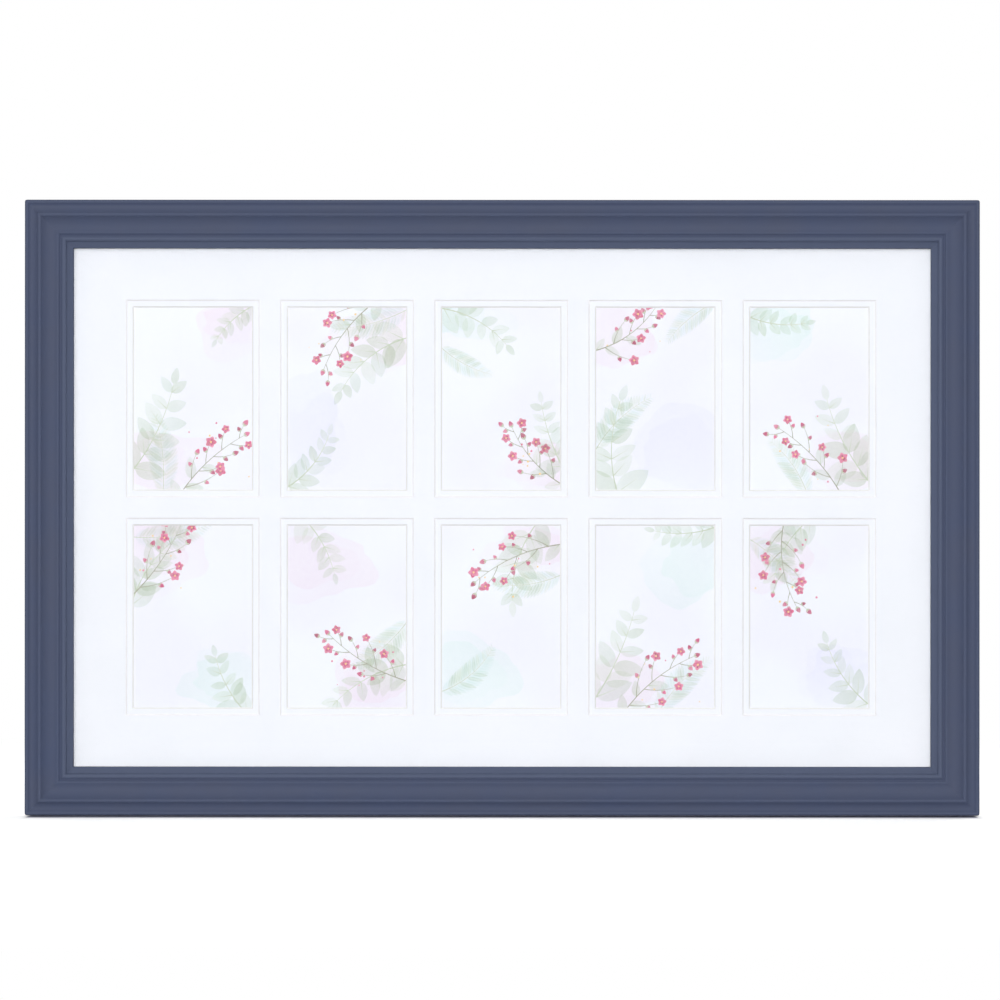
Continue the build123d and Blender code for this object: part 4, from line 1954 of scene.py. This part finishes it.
@dataclass
class Fasteners:
    """Pan-head screws with a cross recess, and the V nails over the mitres, driven by Geometry Nodes."""

    shank_radius: float = 1.5 * MM
    head_radius: float = 3 * MM
    head_height: float = 1.9 * MM
    head_steps: int = 7
    head_sides: int = 28
    merge: float = 0.0005 * MM
    shank_length: float = 10.1 * MM
    point_length: float = 2.4 * MM
    rim_ease: float = 0.18 * MM
    recess_reach: float = 1.5 * MM
    recess_half_width: float = 0.36 * MM
    recess_depth: float = 1.25 * MM
    recess_over: float = 0.2
    recess_floor_reach: float = 0.42
    recess_floor_width: float = 0.6
    button_seat: float = TurnButtons.thickness + 2 * TurnButtons.play
    hanger_seat: float = 2 * Hangers.thickness
    nail_wing: float = 5.5 * MM
    nail_steps: int = 10
    nail_thickness: float = 0.5 * MM
    nail_height: float = 10 * MM
    nail_spread: float = 55
    nail_proud: float = 0.06 * MM
    nail_ripple: float = 0.12 * MM
    nail_ripple_steps: float = 2.5
    nail_places: tuple[float, ...] = (0.32, 0.7)
    wood_width: float = Rails.width - Rails.lip
    seed: int = 3

    def screw_profile(self) -> list[Span]:
        """Half section of a screw: out from its axis, and away from its seat.

        Returns:
            Its points, from the middle of the head to the point.
        """
        rim, last = self.head_height / 2, self.head_steps
        angles = [math.pi / 2 * step / last for step in range(last - 1, -1, -1)]
        dome = [(self.head_radius * math.cos(a), rim + rim * math.sin(a)) for a in angles]
        return [
            (0, self.head_height), *dome,
            (self.head_radius, self.rim_ease), (self.head_radius - self.rim_ease, 0),
            (self.shank_radius, 0), (self.shank_radius, self.point_length - self.shank_length),
            (0, -self.shank_length),
        ]

    def screw_blank(self) -> Object:
        """A screw with its seat at the origin, its head away along +Y and a cross recess in it.

        Returns:
            The screw.
        """
        solid = bmesh.new()
        profile = [solid.verts.new((out, along, 0)) for out, along in self.screw_profile()]
        rim = [solid.edges.new(pair) for pair in zip(profile, profile[1:])]
        bmesh.ops.spin(
            solid, geom=[*profile, *rim], cent=(0, 0, 0), axis=(0, 1, 0), angle=math.tau,
            steps=self.head_sides, use_merge=True,
        )
        bmesh.ops.remove_doubles(solid, verts=solid.verts, dist=self.merge)
        mesh = mesh_of("screw", solid)
        close_up(mesh, HARDWARE_EDGE)
        screw = new_object("screw", mesh)
        cutter = new_object("recess", self.recess_cutter())
        cut = screw.modifiers.new("recess", "BOOLEAN")
        cut.object, cut.operation, cut.solver = cutter, "DIFFERENCE", "EXACT"
        close_up(evaluated_mesh(screw), HARDWARE_EDGE)
        bpy.data.objects.remove(cutter)
        return screw

    def recess_cutter(self) -> Mesh:
        """A tapered cross that stands over a screw's head and reaches into it.

        Returns:
            The cutter's mesh.
        """
        turns = ((1, 0), (0, 1), (-1, 0), (0, -1))

        def cross(reach: float, half: float, height: float) -> list[tuple[float, float, float]]:
            """One level of the cross, its corners in order."""
            arm = ((reach, -half), (reach, half), (half, half))
            return [(x * c - z * s, height, x * s + z * c) for c, s in turns for x, z in arm]

        reach, half = self.recess_reach, self.recess_half_width
        upper = cross(reach, half, self.head_height + self.recess_depth * self.recess_over)
        floor = self.head_height - self.recess_depth
        lower = cross(reach * self.recess_floor_reach, half * self.recess_floor_width, floor)
        return capped_rings("recess", upper, lower)

    def nail_blank(self) -> Object:
        """A V nail with its bend at the origin and its wings ahead, its edge away along +Y.

        Returns:
            The nail.
        """
        line = []
        for side in (-1, 1):
            wing = heading_vector(side * self.nail_spread)
            across = Vector((-wing.y, wing.x)) * self.nail_ripple
            places = [
                wing * self.nail_wing * k / self.nail_steps
                + across * math.sin(math.pi * k / self.nail_ripple_steps)
                for k in range(self.nail_steps, 0, -1)
            ]
            line += places if side < 0 else [Vector((0, 0)), *reversed(places)]
        outer, inner = either_side(line, [self.nail_thickness / 2] * len(line))
        loop = outer + inner[::-1]
        upper, lower = ([(p.x, level, p.y) for p in loop] for level in (self.nail_proud, -self.nail_height))
        return new_object("nail", capped_rings("nail", upper, lower))

    @staticmethod
    @cache
    def drive_tree() -> NodeTree:
        """Geometry Nodes that drive one fastener in at each point, turned as stored and by chance.

        Returns:
            The tree.
        """
        inputs = {"Fastener": "NodeSocketObject", "Chance": 1.0, "Seed": 0, "Finish": "NodeSocketMaterial"}
        graph, given = new_group("drive_fasteners", GroupKind.SHAPE, inputs)
        shape = graph.step("ObjectInfo", {"Object": given["Fastener"]})
        whole_turn = {"Min": 0.0, "Max": math.tau, "Seed": given["Seed"]}
        chance = graph.add("FunctionNodeRandomValue", whole_turn, data_type="FLOAT")
        turn = graph.math("MULTIPLY_ADD", graph.out(chance, "Value"), given["Chance"], graph.stored("turn"))
        driven = {
            "Points": given["Geometry"], "Instance": graph.out(shape, "Geometry"),
            "Rotation": graph.joined(0.0, turn),
        }
        return graph.close_shape(graph.step("InstanceOnPoints", driven), given["Finish"])

    def drive(
        self, name: str, points: list[Vector], turns: list[float], blank: Object,
        finish: SteelFinish, node: str, chance: float,
    ) -> None:
        """Drive a blank in at every point, as one piece, and use the blank up.

        Args:
            name: the piece's name.
            points: where each fastener's origin goes.
            turns: how far each is turned about +Y.
            blank: the fastener.
            finish: its finish.
            node: the CAD node that the piece stands for.
            chance: 1 to turn each by chance as well, 0 not to.
        """
        places = new_mesh(name, points, [])
        places.attributes.new("turn", "FLOAT", "POINT").data.foreach_set("value", turns)
        piece = new_object(name, places)
        tree, material = self.drive_tree(), finish.material()
        mesh = run_tree(piece, tree, Fastener=blank, Chance=chance, Seed=self.seed, Finish=material)
        close_up(mesh, HARDWARE_EDGE)
        settle(piece, material, "zinc_steel", STATIC_BODY, node)

    def build(self) -> None:
        """Make, dress and place the screws and the nails."""
        buttons = [pivot + AWAY * self.button_seat for _, pivot, _ in pivots("turn_button")]
        hangers = [
            Vector((pivot.x, self.hanger_seat, pivot.z)) + outward * -Hangers.screw_distance
            for _, pivot, outward in pivots("hanger_ring")
        ]
        screw = self.screw_blank()
        for node, points in (("turn_button_screws", buttons), ("hanger_screws", hangers)):
            self.drive(f"cross_head_{node}", points, [0.0] * len(points), screw, ZINC, node, 1.0)
        bpy.data.objects.remove(screw)

        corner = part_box("top_rail")[1]
        points, turns = [], []
        for sign_x, sign_z in ((-1, 1), (1, 1), (1, -1), (-1, -1)):
            inward = Vector((-sign_x, 0, -sign_z))
            for share in self.nail_places:
                mitre = Vector((sign_x * corner.x, 0, sign_z * corner.z))
                points.append(mitre + inward * self.wood_width * share)
                turns.append(math.atan2(-inward.z, inward.x))
        nail = self.nail_blank()
        node = "corner_v_nails"
        self.drive(f"driven_{node}", points, turns, nail, BARE_STEEL, node, 0.0)
        bpy.data.objects.remove(nail)


# Studio


@dataclass(frozen=True)
class Softbox:
    """One area lamp, aimed at the frame. Its level is how bright it alone makes a white sheet facing it."""

    name: str
    azimuth: float
    elevation: float
    distance: float
    size: float
    level: float
    glossy: bool = True

    def build(self) -> None:
        """Hang the lamp."""
        light = bpy.data.lights.new(self.name, "AREA")
        light.shape, light.size = "SQUARE", self.size
        light.energy = self.level * (math.pi * self.distance) ** 2
        lamp = new_object(self.name, light)
        turn, tilt = math.radians(self.azimuth), math.radians(self.elevation)
        ahead = math.cos(tilt)
        towards = Vector((math.sin(turn) * ahead, -math.cos(turn) * ahead, math.sin(tilt)))
        lamp.location = towards * self.distance
        lamp.rotation_euler = towards.to_track_quat("Z", "Y").to_euler()
        lamp.visible_camera = False
        lamp.visible_glossy = lamp.visible_transmission = self.glossy


@dataclass
class Studio:
    """A white floor and surroundings, soft lamps and a camera square to the frame."""

    camera_distance: float = 5.0
    camera_reach: float = 100
    picture_width: float = 0.7960
    picture_pixels: float = 1000
    frame_middle: Span = (502.2, 507.7)
    roll: float = 0.03
    front_depth: float = 18 * MM
    sensor: float = 36
    floor_gap: float = 1.0 * MM
    floor_reach: float = 40
    floor_level: Span = (0.78, 0.8)
    floor_end: Span = (0.5, 1.5)
    contact: Span = (7 * MM, 25 * MM)
    contact_inset: float = 5 * MM
    contact_beside: float = 6.0
    # Painted shadow: the floor's colour right along the frame's foot.
    contact_tone: Colour = (0.42, 0.43, 0.56)
    near_lift: Span = (0.0, 0.045)
    far_lift: Span = (0.3, 1.5)
    lift_level: Span = (0.0, 0.5)
    sky: Colour = (0.98, 0.99, 1.0)
    sky_rise: Span = (0, 0.9)
    sky_level: Span = (0.23, 0.49)
    bounce: Colour = (0.37, 0.38, 0.4)
    bounce_beside: Colour = (0.68, 0.68, 0.7)
    bounce_rise: Span = (0.01, 0.08)
    lamps: tuple[Softbox, ...] = (
        Softbox("front_fill", -3, 3, 6, 0.6, 0.29, glossy=False),
        Softbox("left_lamp", -17, 2, 4, 0.3, 0.153),
        Softbox("right_softbox", 17, 4, 4, 0.5, 0.103),
        Softbox("upper_softbox", -2, 14, 4, 0.5, 0.26),
        Softbox("rear_left_softbox", 150, 22, 4, 1.2, 0.40, glossy=False),
        Softbox("rear_right_softbox", -145, 14, 4, 1.2, 0.30),
    )

    def camera(self) -> None:
        """Set the camera square to the front, at the photograph's framing."""
        data = bpy.data.cameras.new("camera")
        data.sensor_width = self.sensor
        data.lens = self.sensor * self.camera_distance / self.picture_width
        data.clip_end = self.camera_reach
        camera = new_object("camera", data)
        pixel = self.picture_width / self.picture_pixels
        right, down = (middle - self.picture_pixels / 2 for middle in self.frame_middle)
        camera.location = (-right * pixel, -self.front_depth - self.camera_distance, down * pixel)
        camera.rotation_euler = (math.pi / 2, math.radians(-self.roll), 0)
        bpy.context.scene.camera = camera

    @staticmethod
    def seen(graph: Graph) -> Node:
        """Tell what the camera sees from what lights a surface.

        Args:
            graph: the material's or world's graph.

        Returns:
            1 for what is seen straight, in gloss or through glass, and 0 for light on a surface.
        """
        path = graph.node("LightPath")
        direct = graph.math("MAXIMUM", graph.out(path, "Is Camera Ray"), graph.out(path, "Is Glossy Ray"))
        direct = graph.math("MAXIMUM", direct, graph.out(path, "Is Transmission Ray"))
        return graph.math("MULTIPLY", direct, graph.math("LESS_THAN", graph.out(path, "Diffuse Depth"), 0.5))

    def world(self) -> None:
        """White surroundings that light the object softly, most from above."""
        world = bpy.data.worlds.new("surroundings")
        world.use_nodes = True
        bpy.context.scene.world = world
        graph = Graph(world.node_tree)
        up = graph.axis(graph.node("TexCoord"), "Z")
        level = graph.ramp(up, *self.sky_rise, *self.sky_level)
        lighting = graph.node("Background", {"Color": self.sky, "Strength": level})
        white = graph.node("Background", {"Color": WHITE, "Strength": 1.0})
        both = graph.node("MixShader", {0: self.seen(graph), 1: lighting, 2: white})
        graph.node("OutputWorld", {"Surface": both})

    def floor(self) -> None:
        """A white floor just under the frame, which keeps its shadow, has a contact shadow painted along the
        frame's foot and is clear from below.
        """
        reach, level = self.floor_reach, CAD_BOX[0].z - self.floor_gap
        turns = ((-1, -1), (1, -1), (1, 1), (-1, 1))
        corners = [(x * reach, y * reach, level) for x, y in turns]
        floor = new_object("floor", new_mesh("floor", corners, [range(4)]))
        material, graph, place = new_material("white_floor")
        beside = graph.math("ABSOLUTE", graph.axis(place, "X"))
        beside = graph.math("SUBTRACT", beside, CAD_BOX[1].x - self.contact_inset)
        ahead = graph.math("SUBTRACT", graph.math("ABSOLUTE", graph.axis(place, "Y")), self.front_depth)
        gap = graph.math("MAXIMUM", graph.math("MULTIPLY", beside, self.contact_beside), ahead)
        grain = graph.lerp(graph.effect(Effects.mottle, place, Scale=3.0), *self.floor_level)
        tone = graph.math("MULTIPLY", grain, graph.ramp(gap, *self.floor_end, 1.0, 0.0))
        # Painted shadow: the floor darkens to a blue-grey near the frame's foot.
        shade = graph.blend(self.contact_tone, WHITE, graph.ramp(gap, *self.contact))
        plain = graph.node("BsdfDiffuse", {"Color": graph.scaled(shade, tone)})
        bounced = graph.blend(self.bounce_beside, self.bounce, graph.ramp(gap, *self.bounce_rise))
        dim = graph.node("BsdfDiffuse", {"Color": bounced})
        near, far = (graph.ramp(gap, *span, *self.lift_level) for span in (self.near_lift, self.far_lift))
        glow = {"Color": WHITE, "Strength": graph.math("ADD", near, far)}
        lifted = graph.node("AddShader", {0: plain, 1: graph.node("Emission", glow)})
        top = graph.node("MixShader", {0: self.seen(graph), 1: dim, 2: lifted})
        under = graph.out(graph.node("NewGeometry"), "Backfacing")
        clear = graph.node("BsdfTransparent")
        show(graph, graph.node("MixShader", {0: under, 1: top, 2: clear}))
        floor.data.materials.append(material)

    def build(self) -> None:
        """Set up the studio."""
        self.camera()
        self.world()
        self.floor()
        for lamp in self.lamps:
            lamp.build()
        bpy.context.scene.view_settings.view_transform = "Standard"


def main() -> None:
    """Build every sub-assembly in order."""
    logging.basicConfig(level=logging.INFO, format="%(name)s: %(message)s")
    Studio().build()
    for assembly in (Rails(), Glazing(), PhotoCards(), TurnButtons(), Hangers(), Fasteners()):
        LOG.info("building %s", type(assembly).__name__)
        assembly.build()


if __name__ == "__main__":
    main()
